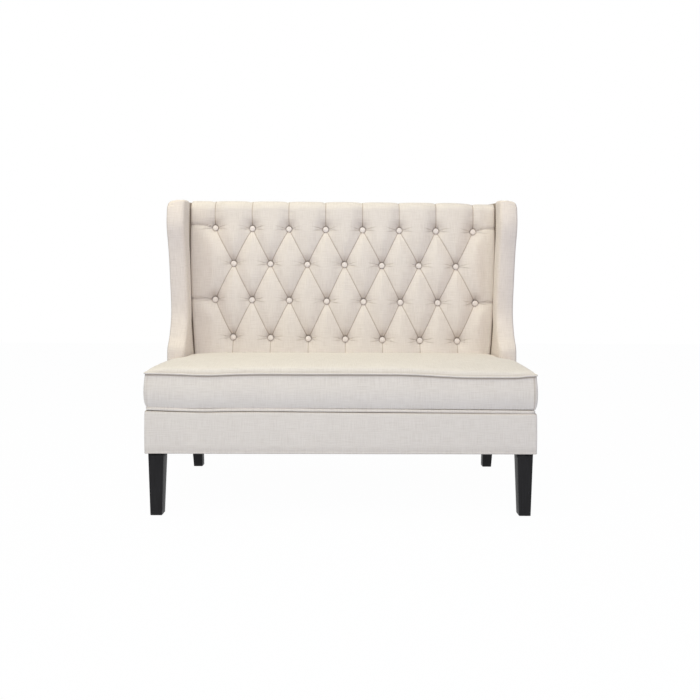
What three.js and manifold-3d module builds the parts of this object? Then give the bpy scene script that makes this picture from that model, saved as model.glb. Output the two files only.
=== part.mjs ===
import * as THREE from 'three';
import { mergeVertices } from 'three/addons/utils/BufferGeometryUtils.js';
import Module from 'manifold-3d';

// High back settee: a wooden frame on four tapered legs, a tight sprung seat with welted edges,
// two curved wings and a deep diamond-tufted back held by covered buttons.
// Millimetres, +Z up. The front looks along -Y, and the origin is on the floor under the middle.
// A depth is a distance behind the foremost line of the settee.

const wasm = await Module();
wasm.setup();

// Overall sizes
const overallWidth = 1258;
const overallDepth = 676;
const legHeight = 203;
const seatSeamHeight = 454;
const backDepth = 181;
const wingTopHeight = 1048;
const frameTopHeight = 1050;

// Fits
const fitGap = 0.3;
const sideClearance = 0.8;
const cutOverrun = 4;
const weldTolerance = 0.001;

// Timber sections
const railThickness = 26;
const railTopHeight = 330;
const boardThickness = 12;
const postWidth = 30;
const wingPostThickness = 36;
const wingPostDepth = 38;
const topRailThickness = 25;
const tackRailRise = 55;
const tackRailHeight = 45;
const uprightWidth = 40;
const stretcherWidth = 44;
const stretcherHeight = 71;
const cornerBlockReach = 70;
const cornerBlockNose = 12;
const cornerBlockHeight = 52;

// Covers, welts and padding
const coverThickness = 3;
const wingSkin = 6;
const hemWidth = 22;
const dustCoverThickness = 1.8;
const backPanelThickness = 5;
const backPanelInset = 2;
const topWeltRadius = 4;
const topWeltProud = 3;
const lowerWeltRadius = 5.5;
const lowerWeltInset = 3;
const lowerWeltRise = 9;
const weltCornerRadius = 14;
const weltCornerSteps = 4;
const weltSides = 8;
const wingFrontPadding = 14;
const wingTopPadding = 14;

// Seat
const deckThickness = 4;
const deckEdgeWidth = 7;
const seatCrown = 36;
const seatRearSeamRise = 14;
const seatCornerRadius = 12;
const boxingBulge = 8;
const boxingTuckDepth = 2;
const crownQuickRise = 6;
const crownSlowRise = 45;
const crownQuickShare = 0.45;
const crownRearDropShare = 0.38;
const crownRearRun = 165;
const seatColumnShares = [0, 0.1, 0.22, 0.36, 0.52, 0.68, 0.82, 0.93, 1];
const seatRowShares = [0.05, 0.13, 0.26, 0.45, 0.72, 1];
const seatNeckRowShares = [0.3, 0.65, 0.93, 1];
const boxingHeightShares = [0.72, 0.4, 0.14, 0];
const boxingBulgeShares = [0.75, 1, 0.5, 0];
const boxingTuckShares = [0, 0, 0, 1];

// Springs
const springCount = 9;
const springPitch = 125;
const springWireWidth = 3.8;
const springLoopHalfWidth = 24;
const springLoopCount = 15;
const springCrownHeight = 6;
const springEndInset = 20;
const stayWireCount = 2;

// Tufted back
const buttonPitch = 148;
const buttonRowCount = 4;
const topButtonDrop = 84;
const lowestButtonRise = 60;
const lowestButtonSetback = 10;
const backRake = 5.3;
const buttonRadius = 10.5;
const buttonRimHeight = 2;
const buttonDomeHeight = 6.5;
const buttonConeDepth = 4.2;
const buttonSeatRadius = 12;
const buttonSides = 10;
const buttonFaceRadiusShare = 0.67;
const buttonFaceHeightShare = 0.75;
const padBehindButtons = 25;
const padBottomRise = 20;
const padTopRise = 29;
const pleatLift = 18;
const puffRise = 22;
const buttonPull = 34;
const foldWidth = 17;
const sideRoll = 20;
const rollPleatDepth = 7;
const rollDepthShares = [0.05, 0.3, 0.72, 1];
const rollRiseShares = [0.72, 1, 0.93, 0.3];
const padSteps = 4;

// Webbing
const strapWidth = 50;
const strapThickness = 2.05;
const strapBondDepth = 0.1;
const uprightStrapCount = 8;
const uprightStrapPitch = 140;
const crossStrapCount = 4;
const topCrossStrapDrop = 100;
const lowestCrossStrapRise = 86;
const strapEndInset = 3;

// Wings
const wingReach = 232;
const wingSweep = 66;
const wingFootHeight = 492;
const wingTopRise = 38;
const wingFaceTop = 55;
const wingFaceFoot = 63;
const creviceThicknessTop = 27;
const creviceThicknessSeat = 49;
const wingEdgeRadius = 10;
const wingPostRun = 50;
const creviceLead = 30;
const wingEdgeSteps = 15;
const topRoundSteps = 4;
const outerRoundShare = 0.38;
const innerRoundShare = 0.25;
const wingEdgeHeightShares = [0, 0.113, 0.266, 0.464, 0.664, 0.842, 1];
const wingEdgeSweepShares = [0.18, 0.68, 1, 0.77, 0.43, 0, 0.18];
const wingCornerShares = [0, 1 / 3, 2 / 3, 1];
const wingHollowWidthShares = [0.25, 0.75];
const wingHollowDepthShares = [1 / 3, 2 / 3];
const creviceTaperPower = 2.2;

// Legs
const frontLegTop = 50;
const frontLegFoot = 38;
const frontLegSideInset = 11.5;
const frontLegSideTaper = 6.5;
const frontLegFrontInset = 14;
const frontLegFrontTaper = 4;
const rearLegTop = 45;
const rearLegFoot = 36;
const rearLegSideTaper = 5.5;
const rearLegTopInset = 48;
const rearLegSplayDepth = 50;
const legArris = 2.5;
const boltRadius = 4;
const boltLength = 40;
const boltSegments = 10;
const frontBoltInset = 11;
const rearFootInset = 48;

// Lines that several pieces share
const halfWidth = overallWidth / 2;
const bodyHalfWidth = halfWidth - topWeltProud;
const bodyFront = topWeltProud;
const railOuter = halfWidth - wingSkin - fitGap;
const railInner = railOuter - railThickness;
const railBottom = legHeight + coverThickness + fitGap;
const frontRailFront = bodyFront + coverThickness + fitGap;
const frontRailBack = frontRailFront + railThickness;
const boardInner = railOuter - boardThickness;
const postOuter = boardInner - fitGap;
const postInner = postOuter - postWidth;
const betweenPosts = postInner - fitGap;
const seatDepth = overallDepth - backDepth;
const crownLevelDepth = seatDepth - crownRearRun;
const rearFootDepth = overallDepth - rearFootInset;
const rearLegTopDepth = rearFootDepth - rearLegTopInset;
const wingForwardDepth = seatDepth - wingReach;
const wingFootDepth = wingForwardDepth + wingEdgeSweepShares[0] * wingSweep;
const armEndDepth = wingFootDepth - fitGap;
const tackRailBottom = railTopHeight + tackRailRise;
const padBottomHeight = tackRailBottom + padBottomRise;
const lowerWeltHeight = railTopHeight + lowerWeltRise;
const cushionBottom = lowerWeltHeight + lowerWeltRadius + fitGap;
const deckTop = cushionBottom - fitGap;
const deckBottom = deckTop - deckThickness;
const seamHalfWidth = halfWidth - 2 * topWeltRadius - fitGap;
const seamFront = 2 * topWeltRadius + fitGap;
const lowerWeltBack = bodyFront + lowerWeltInset + 2 * lowerWeltRadius;
const lowerWeltInner = bodyHalfWidth - lowerWeltInset - 2 * lowerWeltRadius;
const seatNeckHalfWidth = halfWidth - wingFaceFoot - sideClearance;
const seatLineHeight = seatSeamHeight + seatRearSeamRise + crownQuickRise;
const lowestButtonHeight = seatLineHeight + lowestButtonRise;
const lowestButtonDepth = seatDepth + lowestButtonSetback;
const buttonRowPitch = (frameTopHeight - topButtonDrop - lowestButtonHeight) / (buttonRowCount - 1);
const lowestCrossStrapHeight = seatLineHeight + lowestCrossStrapRise;
const crossStrapPitch =
  (frameTopHeight - topCrossStrapDrop - lowestCrossStrapHeight) / (crossStrapCount - 1);
const rakeAngle = THREE.MathUtils.degToRad(backRake);
const columnPitch = buttonPitch / 2;

const fromFront = (depth) => depth - overallDepth / 2;
const clamp01 = (value) => Math.min(1, Math.max(0, value));
const mix = (a, b, share) => a + (b - a) * share;

// The plane through the button seats, and the lines of the frame parallel to it
const buttonDepthAt = (z) => lowestButtonDepth + (z - lowestButtonHeight) * Math.tan(rakeAngle);
const padBackAt = (z) => buttonDepthAt(z) + padBehindButtons;
const frontStrapAt = (z) => padBackAt(z) + fitGap;
const rearStrapAt = (z) => frontStrapAt(z) + strapThickness - strapBondDepth;
const frameFrontAt = (z) => rearStrapAt(z) + strapThickness + fitGap;

// The outside of the back leans less than the inside
const rearDepthAt = (z) =>
  mix(rearFootDepth, overallDepth, (z - legHeight) / (frameTopHeight - legHeight));
const frameRearAt = (z) => rearDepthAt(z) - backPanelThickness - fitGap;
const rearRailBack = frameRearAt(railBottom);
const rearRailFront = rearRailBack - railThickness;
const sideRailEnd = frameFrontAt(railTopHeight) - fitGap;

// Widths of the wing's front face, and of the wing where it meets the tufted back
const wingHeightShare = (z) => clamp01((z - seatLineHeight) / (wingTopHeight - seatLineHeight));
const wingFaceAt = (z) => mix(wingFaceFoot, wingFaceTop, wingHeightShare(z));
const creviceThicknessAt = (z) =>
  mix(creviceThicknessTop, creviceThicknessSeat, (1 - wingHeightShare(z)) ** creviceTaperPower);
const padHalfWidthAt = (z) => halfWidth - creviceThicknessAt(z) - sideClearance;

// The wing's curved front edge as (depth, height) points from its foot to its top
const wingEdge = new THREE.SplineCurve(
  wingEdgeHeightShares.map((share, i) => new THREE.Vector2(
    wingForwardDepth + wingEdgeSweepShares[i] * wingSweep,
    mix(wingFootHeight, wingTopHeight, share))),
).getPoints(wingEdgeSteps);

// Wing heights are sheared so that the top line climbs towards the back
const wingShearAt = (z, depth) =>
  wingTopRise * clamp01((z - wingFootHeight) / (wingTopHeight - wingFootHeight))
  * (depth - wingForwardDepth) / (overallDepth - wingForwardDepth);

// Closed mesh from points and triangles, turned outwards where needed
function closedMesh(points, triangles) {
  let volume = 0;
  for (const [a, b, c] of triangles) volume += points[a].dot(points[b].clone().cross(points[c]));
  const faces = volume < 0 ? triangles.map(([a, b, c]) => [a, c, b]) : triangles;
  const geometry = new THREE.BufferGeometry().setFromPoints(points);
  geometry.setIndex(faces.flat());
  geometry.computeVertexNormals();
  return geometry;
}

// Skin through rings of equal length, closed by a flat cap at each end
function loft(rings, flatten = (p) => new THREE.Vector2(p.x, p.y)) {
  const size = rings[0].length;
  const triangles = [];
  for (let r = 0; r + 1 < rings.length; r += 1) {
    for (let i = 0; i < size; i += 1) {
      const j = (i + 1) % size;
      const [a, b, c, d] = [r * size + i, r * size + j, (r + 1) * size + j, (r + 1) * size + i];
      triangles.push([a, b, c], [a, c, d]);
    }
  }
  const last = (rings.length - 1) * size;
  const addCap = (ring, start, turned) => {
    const outline = ring.map(flatten);
    const clockwise = THREE.ShapeUtils.isClockWise(outline);
    for (const [a, b, c] of THREE.ShapeUtils.triangulateShape(outline, [])) {
      const forward = THREE.ShapeUtils.area([outline[a], outline[b], outline[c]]) < 0 === clockwise;
      const face = forward === turned ? [a, b, c] : [a, c, b];
      triangles.push(face.map((index) => index + start));
    }
  };
  addCap(rings[0], 0, false);
  addCap(rings[rings.length - 1], last, true);
  return closedMesh(rings.flat(), triangles);
}

const point = (x, depth, z) => new THREE.Vector3(x, fromFront(depth), z);

// A block between two widths, two depths and two heights
function block(x0, x1, depth0, depth1, z0, z1) {
  const geometry = new THREE.BoxGeometry(x1 - x0, depth1 - depth0, z1 - z0);
  return geometry.translate((x0 + x1) / 2, fromFront((depth0 + depth1) / 2), (z0 + z1) / 2);
}

// A side profile of (depth, height) points, cut from board lying between two widths
function sideBoard(profile, x0, x1) {
  const shape = new THREE.Shape(profile.map(([depth, z]) => new THREE.Vector2(fromFront(depth), z)));
  const geometry = new THREE.ExtrudeGeometry(shape, { depth: x1 - x0, bevelEnabled: false });
  const axes = new THREE.Matrix4().makeBasis(
    new THREE.Vector3(0, 1, 0), new THREE.Vector3(0, 0, 1), new THREE.Vector3(1, 0, 0));
  return geometry.applyMatrix4(axes).translate(x0, 0, 0);
}

// A plan outline of (x, depth) points, raised between two heights
function planBoard(outline, z0, z1) {
  const shape = new THREE.Shape(outline.map(([x, depth]) => new THREE.Vector2(x, fromFront(depth))));
  return new THREE.ExtrudeGeometry(shape, { depth: z1 - z0, bevelEnabled: false }).translate(0, 0, z0);
}

function solid(geometry) {
  const bare = geometry.clone();
  bare.deleteAttribute('normal');
  bare.deleteAttribute('uv');
  const merged = mergeVertices(bare, weldTolerance);
  return new wasm.Manifold(new wasm.Mesh({
    numProp: 3,
    vertProperties: Float32Array.from(merged.attributes.position.array),
    triVerts: Uint32Array.from(merged.index.array),
  }));
}

function fromSolid(body) {
  const mesh = body.getMesh();
  const geometry = new THREE.BufferGeometry();
  geometry.setAttribute('position', new THREE.BufferAttribute(mesh.vertProperties, 3));
  geometry.setIndex(new THREE.BufferAttribute(mesh.triVerts, 1));
  geometry.computeVertexNormals();
  return geometry;
}

const joined = (first, ...others) =>
  fromSolid(others.reduce((body, other) => body.add(solid(other)), solid(first)));
const cutBy = (first, ...tools) =>
  fromSolid(tools.reduce((body, tool) => body.subtract(solid(tool)), solid(first)));

function mirrored(geometry) {
  const copy = geometry.clone().applyMatrix4(new THREE.Matrix4().makeScale(-1, 1, 1));
  const index = Array.from(copy.index ? copy.index.array : copy.attributes.position.array.keys());
  const turned = [];
  for (let i = 0; i < index.length; i += 3) turned.push(index[i], index[i + 2], index[i + 1]);
  copy.setIndex(turned.slice(0, copy.index ? undefined : copy.attributes.position.count));
  copy.computeVertexNormals();
  return copy;
}

// Finishes
const finish = (color, roughness, metalness = 0) => ({ color, roughness, metalness });
const linen = finish(0xe0d6ca, 0.92);
const legPaint = finish(0x1d1a1a, 0.38);
const timber = finish(0xc9a878, 0.8);
const springSteel = finish(0x8d9196, 0.45, 0.9);
const burlap = finish(0xb59a6c, 0.95);
const webbingJute = finish(0xa98c5e, 0.95);
const cambric = finish(0x24242a, 0.95);

const settee = new THREE.Group();
settee.name = 'high_back_settee';

function addPiece(name, geometry, look) {
  const mesh = new THREE.Mesh(geometry, new THREE.MeshStandardMaterial(look));
  mesh.name = name;
  settee.add(mesh);
  return mesh;
}

// A right-hand piece and its mirror image on the left
function addPair(name, geometry, look) {
  addPiece(`${name}_right`, geometry, look);
  addPiece(`${name}_left`, mirrored(geometry), look);
}

// Legs: tapered squares with eased corners, and a hanger bolt in the top
function legRing(x0, x1, depth0, depth1, z) {
  const corners = [[x0, depth0, 1, 1], [x1, depth0, -1, 1], [x1, depth1, -1, -1], [x0, depth1, 1, -1]];
  return corners.flatMap(([x, depth, sx, sd], i) => {
    const alongX = point(x + sx * legArris, depth, z);
    const alongDepth = point(x, depth + sd * legArris, z);
    return i % 2 ? [alongX, alongDepth] : [alongDepth, alongX];
  });
}

function bolt(x, depth, radius, z0, z1) {
  const geometry = new THREE.CylinderGeometry(radius, radius, z1 - z0, boltSegments);
  return geometry.rotateX(Math.PI / 2).translate(x, fromFront(depth), (z0 + z1) / 2);
}

const legTopHeight = legHeight - fitGap;
const frontLegOuter = halfWidth - frontLegSideInset;
const frontBolt = [railInner - frontBoltInset, frontRailBack + frontBoltInset];
const rearBolt = [(postInner + postOuter) / 2, (rearRailFront + rearRailBack) / 2];

const legBolt = ([x, depth]) =>
  bolt(x, depth, boltRadius, legTopHeight - boltRadius, legHeight + boltLength);

function frontLeg() {
  const footOuter = frontLegOuter - frontLegSideTaper;
  const footFront = frontLegFrontInset + frontLegFrontTaper;
  const post = loft([
    legRing(footOuter - frontLegFoot, footOuter, footFront, footFront + frontLegFoot, 0),
    legRing(frontLegOuter - frontLegTop, frontLegOuter,
      frontLegFrontInset, frontLegFrontInset + frontLegTop, legTopHeight),
  ]);
  return joined(post, legBolt(frontBolt));
}

function rearLeg() {
  const footOuter = frontLegOuter - rearLegSideTaper;
  const footDepth = rearLegTopDepth + rearLegSplayDepth;
  const post = loft([
    legRing(footOuter - rearLegFoot, footOuter, footDepth, footDepth + rearLegFoot, 0),
    legRing(frontLegOuter - rearLegTop, frontLegOuter,
      rearLegTopDepth, rearLegTopDepth + rearLegTop, legTopHeight),
  ]);
  return joined(post, legBolt(rearBolt));
}

const boltHole = ([x, depth]) =>
  bolt(x, depth, boltRadius + fitGap, railBottom - cutOverrun, legHeight + boltLength + fitGap);

addPair('leg_front', frontLeg(), legPaint);
addPair('leg_rear', rearLeg(), legPaint);

// Seat frame
function cornerBlock() {
  const [x, depth] = [railInner - fitGap, frontRailBack + fitGap];
  const outline = [
    [x, depth], [x, depth + cornerBlockReach], [x - cornerBlockNose, depth + cornerBlockReach],
    [x - cornerBlockReach, depth + cornerBlockNose], [x - cornerBlockReach, depth],
  ];
  return cutBy(planBoard(outline, railBottom, railBottom + cornerBlockHeight), boltHole(frontBolt));
}

addPiece('seat_front_rail',
  block(-railOuter, railOuter, frontRailFront, frontRailBack, railBottom, railTopHeight), timber);
addPiece('seat_rear_rail',
  block(-betweenPosts, betweenPosts, rearRailFront, rearRailBack, railBottom, railTopHeight), timber);
addPair('seat_side_rail',
  block(railInner, railOuter, frontRailBack + fitGap, sideRailEnd, railBottom, railTopHeight), timber);
addPair('corner_block_front', cornerBlock(), timber);
addPiece('seat_centre_stretcher',
  block(-stretcherWidth / 2, stretcherWidth / 2, frontRailBack + fitGap, rearRailFront - fitGap,
    railBottom, railBottom + stretcherHeight), timber);

// Back frame: raked posts, a flat top rail, a tack rail and a centre upright
function backPost() {
  const profile = [
    [sideRailEnd + fitGap, railBottom], [sideRailEnd + fitGap, railTopHeight],
    [frameFrontAt(frameTopHeight), frameTopHeight], [frameRearAt(frameTopHeight), frameTopHeight],
    [frameRearAt(railBottom), railBottom],
  ];
  return cutBy(sideBoard(profile, postInner, postOuter), boltHole(rearBolt));
}

function rakedRail(z0, z1, x0, x1) {
  const profile = [
    [frameFrontAt(z0), z0], [frameFrontAt(z1), z1],
    [frameFrontAt(z1) + railThickness, z1], [frameFrontAt(z0) + railThickness, z0],
  ];
  return sideBoard(profile, x0, x1);
}

function topRail() {
  const bottom = frameTopHeight - topRailThickness;
  const profile = [
    [frameFrontAt(bottom), bottom], [frameFrontAt(frameTopHeight), frameTopHeight],
    [frameRearAt(frameTopHeight), frameTopHeight], [frameRearAt(bottom), bottom],
  ];
  return sideBoard(profile, -betweenPosts, betweenPosts);
}

const tackRailTop = tackRailBottom + tackRailHeight;
addPair('back_post', backPost(), timber);
addPiece('back_top_rail', topRail(), timber);
addPiece('back_tack_rail',
  rakedRail(tackRailBottom, tackRailTop, -betweenPosts, betweenPosts), timber);
addPiece('back_centre_upright',
  rakedRail(tackRailTop + fitGap, frameTopHeight - topRailThickness - fitGap,
    -uprightWidth / 2, uprightWidth / 2), timber);

// Wing board: a plywood side on the seat rail, thickened to a post behind its front edge.
// A margin grows it on every side, for the hollow that it leaves in the wing's cover.
function wingBoard(margin = 0, overrun = 0) {
  const inset = wingFrontPadding - margin;
  const top = wingTopHeight - wingTopPadding + margin;
  const boardTopAt = (depth) => top + wingShearAt(wingTopHeight, depth);
  const edge = wingEdge
    .map((p) => [p.x + inset, p.y + wingShearAt(p.y, p.x)])
    .filter(([depth, z]) => z < boardTopAt(depth) - wingEdgeRadius);
  const front = [[wingFootDepth + inset, railTopHeight + fitGap - margin], ...edge];
  const topFront = edge[edge.length - 1][0] + wingEdgeRadius;
  const rearTop = frameRearAt(wingTopHeight) + overrun;
  const rearFoot = frameRearAt(railBottom) + overrun;
  const panel = sideBoard([
    ...front, [topFront, boardTopAt(topFront)], [rearTop, boardTopAt(rearTop)],
    [rearFoot, railBottom - overrun], [sideRailEnd + fitGap - margin, railBottom - overrun],
    [sideRailEnd + fitGap - margin, railTopHeight + fitGap - margin],
  ], boardInner - margin, railOuter + margin);
  const back = [...front].reverse().map(([depth, z]) => [depth + wingPostDepth + 2 * margin, z]);
  const postInnerFace = railOuter - wingPostThickness - margin;
  const post = sideBoard([...front, ...back], postInnerFace, boardInner + boardThickness / 2);
  return joined(panel, post);
}

// One level section of a wing's outer form as (x, depth, rounding) points, outer face first
function wingSection(z, edgeDepth) {
  const face = wingFaceAt(z);
  const inner = halfWidth - face;
  const arc = (share) => [
    wingEdgeRadius * (1 - Math.cos(share * Math.PI / 2)),
    wingEdgeRadius * (1 - Math.sin(share * Math.PI / 2)),
  ];
  const corner = wingCornerShares.map(arc);
  const outerRound = corner.map(([side, ahead]) =>
    [halfWidth - side, edgeDepth + ahead, outerRoundShare * face]);
  const innerRound = [...corner].reverse().map(([side, ahead]) =>
    [inner + side, edgeDepth + ahead, innerRoundShare * face]);
  const creviceDepth = buttonDepthAt(z) - creviceLead;
  const postBack = edgeDepth + wingPostRun;
  const rear = frameRearAt(z);
  const thin = creviceThicknessAt(z + wingShearAt(z, rear));
  const crevice = halfWidth - thin;
  const hollow = wingHollowWidthShares.map((share, i) => [
    mix(inner, crevice, share), mix(postBack, creviceDepth, wingHollowDepthShares[i]),
    innerRoundShare * mix(face, thin, i),
  ]);
  return [
    [halfWidth, rear, outerRoundShare * thin], ...outerRound, ...innerRound,
    [inner, postBack, innerRoundShare * face], ...hollow,
    [crevice, creviceDepth, innerRoundShare * thin],
    [crevice, rear, innerRoundShare * thin],
  ];
}

function wingRing(z, edgeDepth, turn) {
  const drop = 1 - Math.sin(turn * Math.PI / 2);
  const draw = 1 - Math.cos(turn * Math.PI / 2);
  const outerPoints = 1 + wingCornerShares.length;
  return wingSection(z, edgeDepth).map(([x, depth, round], i) => {
    const outward = i < outerPoints ? 1 : -1;
    const ahead = depth < edgeDepth + wingEdgeRadius ? round * draw : 0;
    const height = z + wingShearAt(z, depth) - round * drop;
    return point(x - outward * round * draw, depth + ahead, height);
  });
}

function wingCover() {
  const seatRing = (z) => wingSection(z, wingFootDepth).map(([x, depth]) => point(x, depth, z));
  const rings = [seatRing(railTopHeight + fitGap), seatRing(seatLineHeight)];
  const roundDepth = outerRoundShare * wingFaceTop;
  for (const p of wingEdge) {
    if (p.y < wingTopHeight - roundDepth) {
      rings.push(wingSection(p.y, p.x).map(([x, depth]) =>
        point(x, depth, p.y + wingShearAt(p.y, depth))));
    }
  }
  const topEdge = wingEdge[wingEdge.length - 1].x;
  for (let i = 0; i <= topRoundSteps; i += 1) {
    rings.push(wingRing(wingTopHeight, topEdge, i / topRoundSteps));
  }
  const upper = loft(rings);
  const skin = sideBoard([
    [wingFootDepth, legHeight], [wingFootDepth, railTopHeight + cutOverrun],
    [frameRearAt(railTopHeight), railTopHeight + cutOverrun], [frameRearAt(legHeight), legHeight],
  ], railOuter + fitGap, halfWidth);
  const frameRoom = sideBoard([
    [sideRailEnd, railTopHeight - cutOverrun], [sideRailEnd, railTopHeight],
    [frameFrontAt(frameTopHeight) - fitGap, frameTopHeight + fitGap],
    [frameRearAt(frameTopHeight) + cutOverrun, frameTopHeight + fitGap],
    [frameRearAt(railTopHeight) + cutOverrun, railTopHeight - cutOverrun],
  ], postInner - cutOverrun, boardInner);
  return cutBy(joined(upper, skin), wingBoard(fitGap, cutOverrun), frameRoom);
}

addPair('wing_board', wingBoard(), timber);
addPair('wing_cover', wingCover(), linen);

// Base cover: a front and two short returns, hemmed in under the rails
function baseCover() {
  const plan = (inset, back) => [
    [-bodyHalfWidth + inset, back], [-bodyHalfWidth + inset, bodyFront + inset],
    [bodyHalfWidth - inset, bodyFront + inset], [bodyHalfWidth - inset, back],
  ];
  const top = lowerWeltHeight - lowerWeltRadius - fitGap;
  const outside = planBoard(plan(0, armEndDepth), legHeight, top);
  const inside = planBoard(plan(coverThickness, armEndDepth + cutOverrun),
    legHeight + coverThickness, top + cutOverrun);
  const hemOpening = planBoard(plan(hemWidth, armEndDepth + cutOverrun),
    legHeight - cutOverrun, top + cutOverrun);
  return cutBy(outside, inside, hemOpening);
}

// Path of a welt round the front of the seat, from the left wing to the right one
function weltPath(half, front) {
  const path = [[-half, armEndDepth]];
  for (const side of [-1, 1]) {
    for (let i = 0; i <= weltCornerSteps; i += 1) {
      const turn = (side < 0 ? i : weltCornerSteps - i) / weltCornerSteps * Math.PI / 2;
      path.push([
        side * (half - weltCornerRadius * (1 - Math.cos(turn))),
        front + weltCornerRadius * (1 - Math.sin(turn)),
      ]);
    }
  }
  path.push([half, armEndDepth]);
  return path;
}

// Round cord laid along a level path, mitred at each bend
function welt(path, radius, z) {
  const rings = path.map(([x, depth], i) => {
    const before = path[Math.max(0, i - 1)];
    const after = path[Math.min(path.length - 1, i + 1)];
    const along = new THREE.Vector2(after[0] - before[0], after[1] - before[1]).normalize();
    return Array.from({ length: weltSides }, (_, k) => {
      const turn = (k + 1 / 2) / weltSides * 2 * Math.PI;
      const across = radius * Math.cos(turn);
      return point(x + across * along.y, depth - across * along.x, z + radius * Math.sin(turn));
    });
  });
  return loft(rings, (p) => new THREE.Vector2(p.x, p.z));
}

addPiece('base_cover', baseCover(), linen);
addPiece('seat_lower_welt',
  welt(weltPath(bodyHalfWidth - lowerWeltInset - lowerWeltRadius,
    bodyFront + lowerWeltInset + lowerWeltRadius), lowerWeltRadius, lowerWeltHeight), linen);
addPiece('seat_top_welt',
  welt(weltPath(halfWidth - topWeltRadius, topWeltRadius), topWeltRadius, seatSeamHeight), linen);

// Sinuous springs from rail to rail, tied by stay wires into one unit
function springWire(path, flatten) {
  const half = springWireWidth / 2;
  return loft(path.map((p, i) => {
    const along = path[Math.min(path.length - 1, i + 1)].clone().sub(path[Math.max(0, i - 1)]);
    along.z = 0;
    const across = new THREE.Vector3(-along.y, along.x, 0).normalize().multiplyScalar(half);
    const up = new THREE.Vector3(0, 0, half);
    return [
      p.clone().add(across).add(up), p.clone().sub(across).add(up),
      p.clone().sub(across).sub(up), p.clone().add(across).sub(up),
    ];
  }), flatten);
}

function springUnit() {
  const start = lowerWeltBack + fitGap + deckEdgeWidth + fitGap + springWireWidth;
  const end = rearRailBack - springEndInset;
  const low = railTopHeight + fitGap + springWireWidth / 2;
  const high = deckBottom - fitGap - springWireWidth / 2;
  const loopLength = (end - start) / (2 * springLoopCount + 2);
  const heightAt = (depth) => {
    const share = clamp01(Math.min(depth - frontRailBack, rearRailFront - depth) / (2 * loopLength));
    return mix(low, Math.min(high, low + springCrownHeight), share);
  };
  const acrossWay = (p) => new THREE.Vector2(p.x, p.z);
  const depthWay = (p) => new THREE.Vector2(p.y, p.z);
  const wires = [];
  for (let s = 0; s < springCount; s += 1) {
    const x = (s - (springCount - 1) / 2) * springPitch;
    const path = [point(x, start, heightAt(start))];
    for (let k = 0; k < springLoopCount; k += 1) {
      const side = k % 2 ? -1 : 1;
      for (const step of [1, 2]) {
        const depth = start + (2 * k + step) * loopLength;
        path.push(point(x + side * springLoopHalfWidth, depth, heightAt(depth)));
      }
    }
    path.push(point(x, end, heightAt(end)));
    wires.push(springWire(path, acrossWay));
  }
  const reach = (springCount - 1) / 2 * springPitch + springLoopHalfWidth;
  for (let w = 1; w <= stayWireCount; w += 1) {
    const depth = mix(start, end, w / (stayWireCount + 1));
    const z = heightAt(depth);
    wires.push(springWire([point(-reach, depth, z), point(reach, depth, z)], depthWay));
  }
  return joined(...wires);
}

// Spring deck: a stiff sheet over the springs, with edge strips down to the rails
function seatDeck() {
  const neck = seatNeckHalfWidth;
  const arm = lowerWeltInner - fitGap;
  const front = lowerWeltBack + fitGap;
  const back = rearRailBack - fitGap;
  const cornerX = arm - weltCornerRadius;
  const cornerDepth = front + weltCornerRadius;
  const sheet = planBoard([
    [-cornerX, front], [cornerX, front], [arm, cornerDepth], [arm, armEndDepth], [neck, armEndDepth],
    [neck, back], [-neck, back], [-neck, armEndDepth], [-arm, armEndDepth], [-arm, cornerDepth],
  ], deckBottom, deckTop);
  const foot = railTopHeight + fitGap;
  return joined(sheet,
    block(-cornerX, cornerX, front, front + deckEdgeWidth, foot, deckTop),
    block(-arm, -arm + deckEdgeWidth, cornerDepth, armEndDepth, foot, deckTop),
    block(arm - deckEdgeWidth, arm, cornerDepth, armEndDepth, foot, deckTop),
    block(-neck, neck, back - deckEdgeWidth, back, foot, deckTop));
}

addPiece('seat_spring_unit', springUnit(), springSteel);
addPiece('seat_deck', seatDeck(), burlap);

// Seat top: quick rise behind the welt, then a slow crown that eases towards the back
function seatTopAt(x, depth) {
  const rise = (distance) => {
    const near = 1 - Math.exp(-Math.max(0, distance) / crownQuickRise);
    const far = 1 - Math.exp(-Math.max(0, distance) / crownSlowRise);
    return mix(far, near, crownQuickShare);
  };
  const rear = Math.max(0, (depth - crownLevelDepth) / (seatDepth - crownLevelDepth));
  const body = rise(seamHalfWidth - Math.abs(x)) * rise(depth - seamFront);
  return seatSeamHeight + seatCrown * body * (1 - crownRearDropShare * rear * rear);
}

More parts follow.
